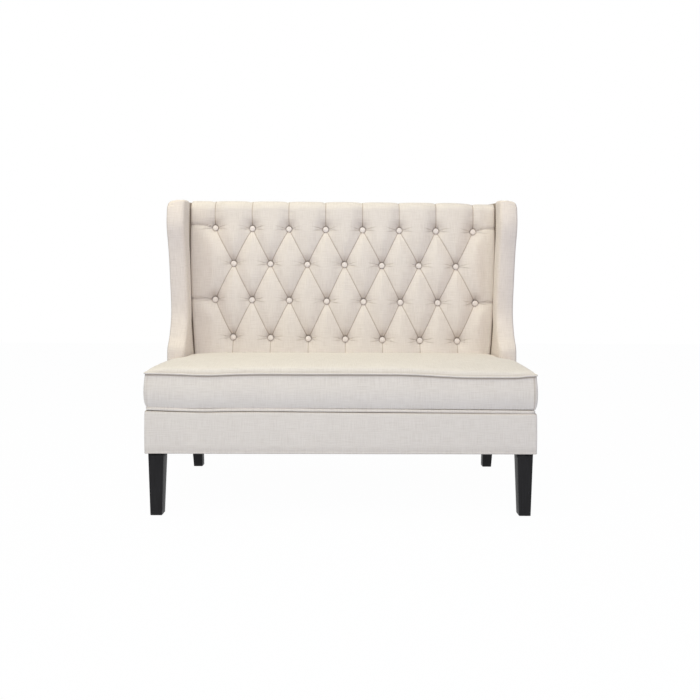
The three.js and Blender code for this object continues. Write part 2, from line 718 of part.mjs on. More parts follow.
// The crowned T-shaped seat: a grid over the top, then rings down its boxed sides
function seatCushion() {
  const neck = seatNeckHalfWidth;
  const half = [
    ...seatColumnShares.map((share) => share * neck),
    (neck + seamHalfWidth - seatCornerRadius) / 2, seamHalfWidth - seatCornerRadius, seamHalfWidth,
  ];
  const xs = [...half.slice(1).reverse().map((x) => -x), ...half];
  const depths = [
    seamFront, seamFront + seatCornerRadius,
    ...seatRowShares.map((share) => mix(seamFront + seatCornerRadius, armEndDepth, share)),
    ...seatNeckRowShares.map((share) => mix(armEndDepth, seatDepth, share)),
  ];
  const armRow = 1 + seatRowShares.length;
  const lastRow = depths.length - 1;
  const inSeat = (i, j) => j <= armRow || Math.abs(xs[i]) <= neck + weldTolerance;
  const points = [];
  const indexOf = new Map();
  const cornerCut = seatCornerRadius * (1 - Math.SQRT1_2);
  depths.forEach((depth, j) => xs.forEach((x, i) => {
    if (!inSeat(i, j)) return;
    const corner = j === 0 && (i === 0 || i === xs.length - 1);
    const px = corner ? x - Math.sign(x) * cornerCut : x;
    const pd = corner ? depth + cornerCut : depth;
    const z = j === lastRow ? seatSeamHeight + seatRearSeamRise : seatTopAt(px, pd);
    indexOf.set(`${i},${j}`, points.length);
    points.push(point(px, pd, z));
  }));
  const triangles = [];
  for (let j = 0; j < lastRow; j += 1) {
    for (let i = 0; i + 1 < xs.length; i += 1) {
      const [a, b, c, d] = [[i, j], [i + 1, j], [i + 1, j + 1], [i, j + 1]]
        .map(([column, row]) => indexOf.get(`${column},${row}`));
      if ([a, b, c, d].every((index) => index !== undefined)) triangles.push([a, b, c], [a, c, d]);
    }
  }

  // The rim of the top: edges that only one triangle has, followed round in order
  const sides = new Map();
  for (const [a, b, c] of triangles) {
    for (const [from, to] of [[a, b], [b, c], [c, a]]) sides.set(`${from},${to}`, [from, to]);
  }
  const next = new Map();
  for (const [from, to] of sides.values()) if (!sides.has(`${to},${from}`)) next.set(from, to);
  const rim = [next.keys().next().value];
  while (next.get(rim[rim.length - 1]) !== rim[0]) rim.push(next.get(rim[rim.length - 1]));

  // Boxing rings: bulge out at mid height, tucked in at the bottom
  let above = rim;
  boxingHeightShares.forEach((heightShare, station) => {
    const bulge = boxingBulge * boxingBulgeShares[station] - boxingTuckDepth * boxingTuckShares[station];
    const ring = rim.map((index) => {
      const p = points[index];
      const depth = p.y + overallDepth / 2;
      const atSide = Math.abs(p.x) > seamHalfWidth - seatCornerRadius / 2;
      const sideways = atSide && depth < armEndDepth - weldTolerance ? bulge : 0;
      const ahead = depth < seamFront + seatCornerRadius / 2 ? bulge : 0;
      points.push(new THREE.Vector3(p.x + Math.sign(p.x) * sideways, p.y - ahead,
        mix(cushionBottom, Math.min(p.z, seatSeamHeight + seatRearSeamRise), heightShare)));
      return points.length - 1;
    });
    above.forEach((a, k) => {
      const b = above[(k + 1) % above.length];
      const [c, d] = [ring[(k + 1) % ring.length], ring[k]];
      triangles.push([b, a, d], [b, d, c]);
    });
    above = ring;
  });
  const outline = above.map((index) => new THREE.Vector2(points[index].x, points[index].y));
  for (const [a, b, c] of THREE.ShapeUtils.triangulateShape(outline, [])) {
    const forward = THREE.ShapeUtils.area([outline[a], outline[b], outline[c]]) > 0;
    triangles.push(forward ? [above[a], above[c], above[b]] : [above[a], above[b], above[c]]);
  }
  return closedMesh(points, triangles);
}

addPiece('seat_cushion', seatCushion(), linen);

// Buttons stand in rows that are shifted by half a pitch, eight in one and seven in the next
const rowHeight = (row) => lowestButtonHeight + row * buttonRowPitch;
const topRow = buttonRowCount - 1;
const outerColumn =
  Math.floor(((padHalfWidthAt(wingTopHeight) - buttonRadius) / columnPitch + 1) / 2) * 2 - 1;
function buttonColumns(row) {
  const columns = [];
  for (let column = -outerColumn; column <= outerColumn; column += 1) {
    if ((column + row) % 2 === 0) columns.push(column);
  }
  return columns;
}
const buttons = Array.from({ length: buttonRowCount }, (_, row) =>
  buttonColumns(row).map((column) => (
    { row, column, x: column * columnPitch, z: rowHeight(row) }))).flat();

// Pleats: folds along the diamonds, up over the top, down to the seat and out to the wings
const pleats = [];
for (const { row, column, x, z } of buttons) {
  for (const side of [-1, 1]) {
    const neighbour = buttons.find((b) => b.row === row + 1 && b.column === column + side);
    if (neighbour) pleats.push([x, z, neighbour.x, neighbour.z]);
  }
  if (row === topRow) pleats.push([x, z, x, z + 2 * buttonRowPitch]);
  if (row === 0) pleats.push([x, z, x, z - 2 * buttonRowPitch]);
  if (Math.abs(column) === outerColumn) pleats.push([x, z, x + Math.sign(x) * 2 * buttonPitch, z]);
}

function distanceToPleat(x, z) {
  return Math.min(...pleats.map(([x0, z0, x1, z1]) => {
    const [dx, dz] = [x1 - x0, z1 - z0];
    const along = clamp01(((x - x0) * dx + (z - z0) * dz) / (dx * dx + dz * dz));
    return Math.hypot(x - x0 - along * dx, z - z0 - along * dz);
  }));
}

const distanceToButton = (x, z) => Math.min(...buttons.map((b) => Math.hypot(x - b.x, z - b.z)));
const soft = (distance, width) => 1 - Math.exp(-distance / width);

// How far the padding stands in front of the plane of the button seats
function proudAt(x, z) {
  const pull = distanceToButton(x, z);
  if (pull < buttonSeatRadius + weldTolerance) return 0;
  const lift = pleatLift * (1 - Math.exp(-((pull / buttonPull) ** 2)));
  const puff = puffRise * soft(distanceToPleat(x, z), foldWidth) * soft(pull, foldWidth);
  return (lift + puff) * soft(padHalfWidthAt(z) - Math.abs(x), sideRoll);
}

// Tufted pad: a lattice whose diagonals lie in the pleats, rolled over the top rail
function backPad() {
  const stepX = columnPitch / padSteps;
  const stepZ = buttonRowPitch / padSteps;
  const outerX = outerColumn * columnPitch;
  const inner = [];
  for (let k = -outerColumn * padSteps; k <= outerColumn * padSteps; k += 1) inner.push(k * stepX);
  const columnsAt = (z) => {
    const side = padHalfWidthAt(z);
    const between = (outerX + side) / 2;
    return [-side, -between, ...inner, between, side];
  };
  const heights = [padBottomHeight, seatLineHeight, (seatLineHeight + lowestButtonHeight) / 2];
  for (let k = 0; k <= topRow * padSteps + 2; k += 1) heights.push(lowestButtonHeight + k * stepZ);
  const points = [];
  const lowRows = heights.indexOf(lowestButtonHeight);
  const rows = heights.map((z, j) => columnsAt(z).map((x, i) => {
    // The four lattice points beside a button close in to the edge of its seat
    const [across, up] = [i - 2 - outerColumn * padSteps, j - lowRows];
    const seat = buttons.find((b) =>
      Math.abs(across - b.column * padSteps) + Math.abs(up - b.row * padSteps) === 1);
    const px = seat ? seat.x + (across - seat.column * padSteps) * buttonSeatRadius : x;
    const pz = seat ? seat.z + (up - seat.row * padSteps) * buttonSeatRadius : z;
    const behindSeat = Math.min(padBackAt(pz) - fitGap, Math.max(seatDepth + fitGap, buttonDepthAt(pz)));
    const depth = z <= seatLineHeight ? behindSeat : buttonDepthAt(pz) - proudAt(px, pz);
    points.push(point(px, depth, pz));
    return points.length - 1;
  }));

  // Rolled top: every second column, drawn in at each pleat
  const lastHeight = heights[heights.length - 1];
  const rollFront = buttonDepthAt(lastHeight) - pleatLift - puffRise;
  const rollRear = rearDepthAt(frameTopHeight) - fitGap;
  const topButtons = buttons.filter((b) => b.row === topRow);
  const rollRows = rollDepthShares.map((depthShare, station) => columnsAt(lastHeight)
    .filter((_, i) => i % 2 === 0)
    .map((x) => {
      const riseShare = rollRiseShares[station];
      const pleat = Math.min(...topButtons.map((b) => Math.abs(x - b.x)));
      const side = soft(padHalfWidthAt(lastHeight) - Math.abs(x), sideRoll / 2);
      const drawn = rollPleatDepth * (1 - Math.min(soft(pleat, foldWidth), side));
      points.push(point(x, mix(rollFront, rollRear, depthShare) + drawn * (1 - depthShare),
        frameTopHeight + padTopRise * riseShare - drawn * riseShare));
      return points.length - 1;
    }));

  const triangles = [];
  for (let j = 0; j + 1 < rows.length; j += 1) {
    for (let i = 0; i + 1 < rows[j].length; i += 1) {
      const [a, b, c, d] = [rows[j][i], rows[j][i + 1], rows[j + 1][i + 1], rows[j + 1][i]];
      const blockX = Math.floor((i - 2) / padSteps) - outerColumn;
      const blockZ = Math.floor((j - lowRows) / padSteps);
      const inLattice = blockZ >= 0 && blockZ < topRow && blockX >= -outerColumn && blockX < outerColumn;
      if (((blockX + blockZ) % 2 === 0) === inLattice) triangles.push([a, b, c], [a, c, d]);
      else triangles.push([a, b, d], [b, c, d]);
    }
  }
  const fineRow = rows[rows.length - 1];
  for (let k = 0; k + 1 < rollRows[0].length; k += 1) {
    const [a, b, c] = [fineRow[2 * k], fineRow[2 * k + 1], fineRow[2 * k + 2]];
    const [d, e] = [rollRows[0][k], rollRows[0][k + 1]];
    triangles.push([a, b, d], [b, e, d], [b, c, e]);
  }
  for (let j = 0; j + 1 < rollRows.length; j += 1) {
    for (let i = 0; i + 1 < rollRows[j].length; i += 1) {
      const [near, far] = [rollRows[j], rollRows[j + 1]];
      triangles.push([near[i], near[i + 1], far[i + 1]], [near[i], far[i + 1], far[i]]);
    }
  }

  // Flat faces behind: over the rail, down the webbing, and the two ends
  const underside = frameTopHeight + fitGap;
  const topHalf = padHalfWidthAt(underside);
  const bottomHalf = padHalfWidthAt(padBottomHeight);
  const behind = [
    [topHalf, rollRear, underside], [topHalf, padBackAt(underside), underside],
    [bottomHalf, padBackAt(seatLineHeight), seatLineHeight],
    [bottomHalf, padBackAt(padBottomHeight), padBottomHeight],
  ];
  const [leftBack, rightBack] = [-1, 1].map((side) => behind.map(([x, depth, z]) => {
    points.push(point(side * x, depth, z));
    return points.length - 1;
  }));
  const fan = (edge, left, right) => {
    const middle = Math.floor(edge.length / 2);
    for (let i = 0; i + 1 < edge.length; i += 1) {
      triangles.push([edge[i], edge[i + 1], i < middle ? left : right]);
    }
    triangles.push([left, edge[middle], right]);
  };
  fan(rollRows[rollRows.length - 1], leftBack[0], rightBack[0]);
  for (let k = 0; k + 1 < behind.length; k += 1) {
    const [a, b, c, d] = [leftBack[k], rightBack[k], rightBack[k + 1], leftBack[k + 1]];
    triangles.push([a, b, c], [a, c, d]);
  }
  const bottomEdge = [...rows[0]].reverse();
  fan(bottomEdge, rightBack[3], leftBack[3]);
  for (const [pick, back, turned] of [[0, leftBack, true], [-1, rightBack, false]]) {
    const addFace = (a, b, c) => triangles.push(turned ? [a, b, c] : [a, c, b]);
    const edge = [...rows, ...rollRows].map((row) => row.at(pick));
    const middle = Math.floor(rows.length / 2);
    edge.slice(1).forEach((above, k) =>
      addFace(edge[k], above, back[k < 1 ? 3 : k < middle ? 2 : 1]));
    addFace(edge[1], back[2], back[3]);
    addFace(edge[middle], back[1], back[2]);
    addFace(edge[edge.length - 1], back[0], back[1]);
  }
  return closedMesh(points, triangles);
}

// Covered button: a low cone that fits the dimple, a short rim and a domed face
function buttonShape() {
  const profile = [
    [0, fitGap], [buttonRadius, fitGap + buttonConeDepth],
    [buttonRadius, fitGap + buttonConeDepth + buttonRimHeight],
    [buttonRadius * buttonFaceRadiusShare,
      fitGap + buttonConeDepth + buttonDomeHeight * buttonFaceHeightShare],
    [0, fitGap + buttonConeDepth + buttonDomeHeight],
  ].map(([radius, height]) => new THREE.Vector2(radius, height));
  return new THREE.LatheGeometry(profile, buttonSides).rotateX(Math.PI - rakeAngle);
}

addPiece('back_pad', backPad(), linen);
for (const { row, column, x, z } of buttons) {
  const place = buttonColumns(row).indexOf(column) + 1;
  const button = buttonShape().translate(x, fromFront(buttonDepthAt(z)), z);
  addPiece(`tuft_button_row${buttonRowCount - row}_${place}`, button, linen);
}

// Webbing: upright straps with cross straps fixed behind them
function backWebbing() {
  const strap = (x0, x1, z0, z1, frontAt) => sideBoard([
    [frontAt(z0), z0], [frontAt(z1), z1],
    [frontAt(z1) + strapThickness, z1], [frontAt(z0) + strapThickness, z0],
  ], x0, x1);
  const straps = [];
  for (let s = 0; s < uprightStrapCount; s += 1) {
    const x = (s - (uprightStrapCount - 1) / 2) * uprightStrapPitch;
    straps.push(strap(x - strapWidth / 2, x + strapWidth / 2,
      padBottomHeight + strapEndInset, frameTopHeight - strapEndInset, frontStrapAt));
  }
  for (let s = 0; s < crossStrapCount; s += 1) {
    const z = lowestCrossStrapHeight + s * crossStrapPitch;
    const reach = padHalfWidthAt(z) - strapEndInset;
    straps.push(strap(-reach, reach, z - strapWidth / 2, z + strapWidth / 2, rearStrapAt));
  }
  return joined(...straps);
}

addPiece('back_webbing', backWebbing(), webbingJute);

// Outside back: one flat padded panel over the posts and rails
function outsideBack() {
  const bottom = legHeight + fitGap;
  const profile = [
    [rearDepthAt(bottom) - backPanelThickness, bottom], [rearDepthAt(bottom), bottom],
    [rearDepthAt(frameTopHeight), frameTopHeight],
    [rearDepthAt(frameTopHeight) - backPanelThickness, frameTopHeight],
  ];
  return sideBoard(profile, -halfWidth + backPanelInset, halfWidth - backPanelInset);
}

// Dust cover: a thin cloth panel under the rails, between the hems
function dustCover() {
  const half = bodyHalfWidth - hemWidth - fitGap;
  const top = railBottom - fitGap;
  const sheet = block(-half, half, bodyFront + hemWidth + fitGap, rearRailBack - fitGap,
    top - dustCoverThickness, top);
  const holes = [frontBolt, rearBolt]
    .flatMap(([x, depth]) => [boltHole([x, depth]), boltHole([-x, depth])]);
  return cutBy(sheet, ...holes);
}

addPiece('outside_back_panel', outsideBack(), linen);
addPiece('dust_cover', dustCover(), cambric);

export default settee;
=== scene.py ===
import math

import bpy
import numpy as np
from mathutils import Matrix, Vector


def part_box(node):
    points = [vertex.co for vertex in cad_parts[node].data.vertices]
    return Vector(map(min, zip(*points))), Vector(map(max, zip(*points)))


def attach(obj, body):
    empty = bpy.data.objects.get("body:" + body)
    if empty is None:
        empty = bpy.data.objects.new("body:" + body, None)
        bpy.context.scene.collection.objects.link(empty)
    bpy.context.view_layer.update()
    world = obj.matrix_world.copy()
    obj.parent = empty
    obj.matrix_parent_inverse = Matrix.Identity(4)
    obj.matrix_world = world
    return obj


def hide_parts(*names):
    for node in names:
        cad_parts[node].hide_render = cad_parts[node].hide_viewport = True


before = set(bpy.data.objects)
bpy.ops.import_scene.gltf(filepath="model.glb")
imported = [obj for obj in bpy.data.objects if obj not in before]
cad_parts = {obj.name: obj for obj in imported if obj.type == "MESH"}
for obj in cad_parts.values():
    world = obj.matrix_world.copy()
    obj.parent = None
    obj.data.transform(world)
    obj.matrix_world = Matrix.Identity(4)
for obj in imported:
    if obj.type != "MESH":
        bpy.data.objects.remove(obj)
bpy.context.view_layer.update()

bl_info = {
    "name": "High back settee",
    "version": (1, 0, 0),
    "blender": (4, 5, 0),
    "location": "3D View > Sidebar > Settee",
    "description": "Covers the settee's frame: tufted back, seat, wings, welts, buttons and legs",
    "category": "Add Mesh",
}

# Lines of the frame, in metres. A depth is a distance behind the foremost line of the settee.
MM = 0.001
HALF_WIDTH = 629 * MM
OVERALL_DEPTH = 676 * MM
LEG_HEIGHT = 203 * MM
FRAME_TOP = 1050 * MM
WING_TOP = 1048 * MM
REAR_FOOT_DEPTH = 628 * MM
FIT_GAP = 0.3 * MM
SIDE_CLEARANCE = 0.8 * MM
SIDES = (("right", 1), ("left", -1))
RAIL_TOP = 330 * MM
RAIL_OUTER = 622.7 * MM
BODY_HALF_WIDTH = 627.5 * MM
BODY_FRONT = 3 * MM
BACK_PANEL_THICKNESS = 5 * MM
BACK_PANEL_INSET = 2 * MM
SEAM_INSET = 9 * MM

# Seat
SEAT_SEAM = 458 * MM
SEAT_DEPTH = 495 * MM
LOWER_WELT = 339 * MM
SEAT_BOTTOM = 344.8 * MM
SEAM_HALF_WIDTH = 627 * MM
SEAM_FRONT = 8.3 * MM
SEAT_NECK = 565.2 * MM
SEAT_LINE = 474 * MM
SEAT_CORNER = 6 * MM
REAR_SEAM_RISE = 14 * MM
ARM_END = 274.58 * MM
CROWN_QUICK_RISE = 4 * MM
CROWN_SLOW_RISE = 55 * MM
CROWN_QUICK_SHARE = 0.52
CROWN_SIDE_QUICK_SHARE = 0.42
CORNER_SEAM_INSET = 8.5 * MM
BOXING_SHARES = (0.975, 0.945, 0.91, 0.86, 0.78, 0.68, 0.57, 0.46, 0.35, 0.24, 0.14, 0.06, 0)
SIDE_SWELL_SHARE = 0.55
GROOVE_SLOPE = 4 * MM
CROWN_REAR_DROP = 0.38
CROWN_LEVEL_DEPTH = 330 * MM
CLOTH_FRAMES = 20
STUFFING_PRESSURE = 4.0
COVER_FULLNESS = 0.012

# Tufted back
BUTTON_PITCH = 148 * MM
COLUMN_PITCH = BUTTON_PITCH / 2
ROW_PITCH = 144 * MM
BUTTON_ROWS = 4
OUTER_COLUMN = 7
OUTER_BUTTON = OUTER_COLUMN * COLUMN_PITCH
LOWEST_BUTTON_HEIGHT = 534 * MM
LOWEST_BUTTON_DEPTH = 505 * MM
BACK_RAKE = math.radians(5.3)
BUTTON_SEAT = 12 * MM
BUTTON_STAND = 6 * MM
PAD_BEHIND_BUTTONS = 25 * MM
PAD_BOTTOM = 405 * MM
PAD_TOP_RISE = 29 * MM
SIDE_ROLL = 3 * MM
SIDE_SHARE = 0.68
CELL_STEPS = 40
CREST_SHARE = 0.3
ROLL_START = LOWEST_BUTTON_HEIGHT + (BUTTON_ROWS - 0.5) * ROW_PITCH
FAR_FROM_BUTTONS = 72 * MM
BUTTON_SEED = 5

# Form of the tufts: the pull at the buttons, the swell between folds, and the strips by the wings
BUTTON_PULL = 34 * MM
NEAR_PULL = 20 * MM
NEAR_PULL_SHARE = 0.38
UPPER_FOLD_EDGE = 5 * MM
LOWER_FOLD_EDGE = 9 * MM
PUFF_WIDTH = 27 * MM
PUFF_START = 17 * MM
FOLD_SHARPNESS = 0.32
STRIP_SHARPNESS = 0.85
STRIP_WIDTH = 45 * MM
STRIP_PUFF_SHARE = 0.6

# Puckers that run out from a button: heading in degrees, then ranges of length and depth in mm
WHISKERS = [(side + lean, (26, 46), (1.2, 2.4)) for side in (0, 180) for lean in (-11, 0, 12)]
WHISKERS += [(lean, (22, 32), (0.5, 1.1)) for lean in (76, 91, 105)]
WHISKER_REACH = 60 * MM
WHISKER_SEED = 11

# How far hand work leaves the buttons from their even lattice
DRIFT_LOW = 11.5 * MM
DRIFT_TOP = 5.5 * MM
DRAWN_IN = 0.012
SAG = 0.013
LIFT = 5 * MM
STRAY = 1.6 * MM
STRAY_SEED = 8
SLIP_SPREAD = 60 * MM
SLIP_SIDE_FADE = 70 * MM

# Wings
WING_FORWARD = 263 * MM
WING_SWEEP = 66 * MM
WING_FOOT = 492 * MM
WING_TOP_RISE = 38 * MM
WING_FACE_TOP = 62 * MM
WING_FACE_FOOT = 63 * MM
CREVICE_TOP = 25 * MM
CREVICE_SEAT = 54 * MM
CREVICE_TAPER = 2.2
WING_EDGE_RADIUS = 10 * MM
WING_INNER_RADIUS = 16 * MM
WING_POST_RUN = 50 * MM
CREVICE_LEAD = 30 * MM
OUTER_ROUND_SHARE = 0.38
INNER_ROUND_SHARE = 0.14
WING_BELLY = 2 * MM
GATHER_START = 0.72
# Painted shade on the wing's outer front edge and in its crevice
RIM_SHADE = 0.42
CREVICE_SHADE = 0.85
EDGE_POINTS = 400
EDGE_HEIGHT_SHARES = (0, 0.045, 0.125, 0.266, 0.464, 0.664, 0.842, 1)
EDGE_SWEEP_SHARES = (0.18, 0.24, 0.67, 1, 0.77, 0.43, 0, 0.18)
WING_FOOT_DEPTH = WING_FORWARD + EDGE_SWEEP_SHARES[0] * WING_SWEEP

# Legs: (distance from the middle to the outer face, depth, size) at the foot and at the top
LEG_SHAPES = {
    "front": ((611 * MM, 18 * MM, 38 * MM), (617.5 * MM, 14 * MM, 50 * MM)),
    "rear": ((612 * MM, 630 * MM, 36 * MM), (617.5 * MM, 580 * MM, 45 * MM)),
}
LEG_CORNER = 2.5 * MM
LEG_CORNER_STEPS = 4

# Tint of each linen, and whether it shows the puckers round the buttons. All are the one cream
# linen: the button copy is painted lighter, the wing copy lighter and warmer, and the tufted copy
# a little pinker, as painted light for the light each part catches
LINENS = {
    "cream_linen": ((1, 1, 1), False),
    "tufted_linen": ((1, 0.985, 0.995), True),
    "button_linen": ((1.16, 1.15, 1.17), False),
    "wing_linen": ((1.05, 1.01, 0.99), False),
}

# Lamps: name, place, target, size, power and colour
LAMPS = (
    ("top_softbox", (-0.62, -0.9, 3.0), (-0.1, 0.0, 0.6), 2.6, 42, (1.0, 0.96, 0.66)),
    ("front_softbox", (0.0, -3.1, 2.6), (0, 0, 0.7), 2.2, 44, (0.965, 0.95, 1.0)),
)

# How far the camera's picture is shifted, and how white the floor and the room show
CAMERA_SHIFT = (0.00044, -0.0827)
FLOOR_WHITE, ROOM_WHITE = 0.982, 1.0

BUTTON_NODES = sorted(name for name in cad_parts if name.startswith("tuft_button_"))
TIMBER_NODES = [
    "seat_front_rail", "seat_rear_rail", "seat_side_rail_right", "seat_side_rail_left",
    "corner_block_front_right", "corner_block_front_left", "seat_centre_stretcher",
    "back_post_right", "back_post_left", "back_top_rail", "back_tack_rail",
    "back_centre_upright", "wing_board_right", "wing_board_left",
]


def from_front(depth):
    return depth - OVERALL_DEPTH / 2


def mix(a, b, share):
    return a + (b - a) * share


def soft(distance, width):
    return 1 - np.exp(-np.maximum(distance, 0) / width)


def bell(distance, width):
    return np.exp(-(distance / width) ** 2)


def smooth_step(value, low, high):
    share = np.clip((value - low) / (high - low), 0, 1)
    return share * share * (3 - 2 * share)


def button_depth_at(z):
    return LOWEST_BUTTON_DEPTH + (z - LOWEST_BUTTON_HEIGHT) * math.tan(BACK_RAKE)


def rear_depth_at(z):
    share = (z - LEG_HEIGHT) / (FRAME_TOP - LEG_HEIGHT)
    return mix(REAR_FOOT_DEPTH, OVERALL_DEPTH, share)


def wing_height_share(z):
    return np.clip((z - SEAT_LINE) / (WING_TOP - SEAT_LINE), 0, 1)


def crevice_at(z):
    """Distance from a wing's outer side to the crevice between wing and tufts"""
    return mix(CREVICE_TOP, CREVICE_SEAT, (1 - wing_height_share(z)) ** CREVICE_TAPER)


def pad_half_at(z):
    """Half the width of the tufted back, from crevice to crevice"""
    return HALF_WIDTH - crevice_at(z) - SIDE_CLEARANCE


def length(label, description, size):
    return bpy.props.FloatProperty(
        name=label, description=description, default=size, subtype="DISTANCE", unit="LENGTH")


def tone(label, description, colour):
    return bpy.props.FloatVectorProperty(
        name=label, description=description, default=colour, subtype="COLOR", min=0, max=1)


class SetteeSizes(bpy.types.PropertyGroup):
    """Sizes of the covers that can be changed without touching the frame"""

    button_radius: length("Button radius", "Radius of a covered button", 10.9 * MM)
    pleat_lift: length(
        "Pleat lift", "How far the pleats stand in front of the button seats", 20 * MM)
    puff_rise: length("Puff rise", "How far a diamond swells beyond its pleats", 20 * MM)
    seat_crown: length("Seat crown", "Rise of the seat's middle above its top seam", 33 * MM)
    boxing_bulge: length("Boxing bulge", "How far the seat's side panels swell", 9 * MM)
    cloth_cap: length(
        "Cloth cap", "The furthest that the stuffing may push the seat's cover", 5 * MM)
    top_welt_radius: length(
        "Top welt radius", "Radius of the welt along the seat's top seam", 2.9 * MM)
    lower_welt_radius: length(
        "Lower welt radius", "Radius of the welt between seat and base", 5.5 * MM)
    thread_pitch: length(
        "Thread pitch", "Distance between neighbouring linen threads", 1.15 * MM)


class SetteeColours(bpy.types.PropertyGroup):
    """Colours of the settee's finishes"""

    linen: tone("Linen", "Main colour of the cover cloth", (0.765, 0.722, 0.682))
    linen_slub: tone("Linen slub", "Thicker, darker threads in the cloth", (0.635, 0.585, 0.54))
    # Painted shade: the colour mixed into pleat lines, creases, grooves, crevices and the cloth
    # round and above the buttons
    painted_fold_shade: tone("Fold shade", "Colour deep in a pleat", (0.30, 0.225, 0.165))
    leg_paint: tone("Leg paint", "Dark paint of the legs", (0.0095, 0.0092, 0.0102))
    timber: tone("Timber", "Bare hardwood of the frame", (0.58, 0.39, 0.19))


class SetteeStage(bpy.types.PropertyGroup):
    """Camera and floor"""

    camera_distance: length("Camera distance", "From the camera to the settee's front", 2.15)
    camera_side: length("Camera side", "How far right of the middle the camera stands", 28 * MM)
    camera_height: length("Camera height", "Height of the camera above the floor", 718 * MM)
    lens: bpy.props.FloatProperty(
        name="Lens", description="Focal length in millimetres on a 36 mm sensor",
        default=34.73)
    roll: bpy.props.FloatProperty(
        name="Roll", description="Small tilt of the camera about its own axis",
        default=math.radians(0.12), subtype="ANGLE")
    floor_size: length("Floor size", "Width and depth of the pale floor", 14.0)


# Meshes

def new_object(name, data):
    """An object with this data, linked into the scene"""
    made = bpy.data.objects.new(name, data)
    bpy.context.scene.collection.objects.link(made)
    return made


def make_piece(name, points, faces):
    mesh = bpy.data.meshes.new(name)
    mesh.from_pydata(np.asarray(points, float).tolist(), [], faces)
    mesh.polygons.foreach_set("use_smooth", [True] * len(mesh.polygons))
    mesh.update()
    return new_object(name, mesh)


def in_frame(x, depth, z):
    """Points of the frame from widths, depths and heights of any shape"""
    x, depth, z = np.broadcast_arrays(x, depth, z)
    return np.stack([x, from_front(depth), z], axis=-1).reshape(-1, 3)


def read(items, field, width=1, kind=float):
    """One field of all items; a field of several numbers gives a row for each item"""
    values = np.empty(len(items) * width, kind)
    items.foreach_get(field, values)
    return values.reshape(-1, width) if width > 1 else values


def grid_faces(rows, columns):
    return [(a, a + 1, a + 1 + columns, a + columns)
            for a in (j * columns + i for j in range(rows - 1) for i in range(columns - 1))]


def end_caps(ring_count, ring_size):
    last = (ring_count - 1) * ring_size
    return [tuple(range(ring_size - 1, -1, -1)), tuple(range(last, last + ring_size))]


def ring_faces(ring_count, ring_size):
    """Quads through rings of equal length, and a flat cap at each end"""
    faces = []
    for r in range(ring_count - 1):
        for i in range(ring_size):
            a, b = r * ring_size + i, r * ring_size + (i + 1) % ring_size
            faces.append((a, b, b + ring_size, a + ring_size))
    return faces + end_caps(ring_count, ring_size)


def point_outwards(piece):
    """Turns a closed mesh the right way round by the sign of its volume"""
    mesh = piece.data
    mesh.calc_loop_triangles()
    points = read(mesh.vertices, "co", 3)
    a, b, c = (points[corner] for corner in read(mesh.loop_triangles, "vertices", 3, int).T)
    if float((a * np.cross(b, c)).sum()) < 0:
        mesh.flip_normals()
    mesh.update()
    return piece


def lay_weave(piece):
    """A UV map in metres, so that threads keep their size and follow each face"""
    mesh = piece.data
    layer = mesh.uv_layers.new(name="weave")
    facing = np.repeat(np.abs(read(mesh.polygons, "normal", 3)).argmax(axis=1),
                       read(mesh.polygons, "loop_total", kind=int))
    x, y, z = read(mesh.vertices, "co", 3)[read(mesh.loops, "vertex_index", kind=int)].T
    across = np.where(facing == 0, y, x)
    along = np.where(facing == 2, y, z)
    layer.data.foreach_set("uv", np.stack([across, along], axis=1).ravel())


def mark_painted_shade_and_wear(piece, values):
    """Stores a value per point for the colour: painted shade in the folds, grooves and crevices of
    the covers and buttons, dark seam lines, and rubbed wear on the legs
    """
    attribute = piece.data.attributes.new("crease", "FLOAT", "POINT")
    attribute.data.foreach_set("value", np.asarray(values, np.float32))


def cloth_piece(name, points, faces, shades):
    """A closed cover with its painted shade and seam lines marked and its weave laid"""
    piece = make_piece(name, points, faces)
    mark_painted_shade_and_wear(piece, shades)
    point_outwards(piece)
    lay_weave(piece)
    return piece


def baked(piece):
    """The piece's evaluated mesh in place of its modifiers"""
    depsgraph = bpy.context.evaluated_depsgraph_get()
    mesh = bpy.data.meshes.new_from_object(piece.evaluated_get(depsgraph))
    mesh.name = piece.name
    if piece.type == "MESH":
        piece.modifiers.clear()
        piece.data = mesh
        return piece
    fresh = new_object(mesh.name, mesh)
    bpy.data.objects.remove(piece)
    return fresh


def smoother(piece):
    modifier = piece.modifiers.new("Smooth cover", "SUBSURF")
    modifier.levels = 1
    modifier.render_levels = 1
    return baked(piece)


def dress(piece, material, nodes):
    """Gives a finished piece its material and its place in the table"""
    piece.data.materials.clear()
    piece.data.materials.append(material)
    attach(piece, "root")
    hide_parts(*nodes)
    return piece


def stuff(piece, sewn, cap):
    """Presses a cover outwards as cloth, by no more than cap, held at its sewn points"""
    mesh = piece.data
    before = read(mesh.vertices, "co", 3)
    held = piece.vertex_groups.new(name="sewn")
    held.add(sewn, 1.0, "REPLACE")
    modifier = piece.modifiers.new("Cloth", "CLOTH")
    settings = {
        "quality": 6, "mass": 0.3, "tension_stiffness": 25, "compression_stiffness": 25,
        "shear_stiffness": 12, "bending_stiffness": 1.5, "use_pressure": True,
        "uniform_pressure_force": STUFFING_PRESSURE, "shrink_min": -COVER_FULLNESS,
        "vertex_group_mass": held.name,
    }
    for key, value in settings.items():
        setattr(modifier.settings, key, value)
    modifier.settings.effector_weights.gravity = 0
    modifier.collision_settings.use_collision = False
    modifier.point_cache.frame_start = 1
    modifier.point_cache.frame_end = CLOTH_FRAMES
    scene = bpy.context.scene
    for step in range(1, CLOTH_FRAMES + 1):
        scene.frame_set(step)
    swollen = piece.evaluated_get(bpy.context.evaluated_depsgraph_get()).data
    move = read(swollen.vertices, "co", 3) - before
    piece.modifiers.clear()
    distance = np.linalg.norm(move, axis=1, keepdims=True)
    move *= cap * np.tanh(distance / cap) / np.maximum(distance, 1e-9)
    mesh.vertices.foreach_set("co", (before + move).ravel())
    mesh.update()
    scene.frame_set(1)


# Materials

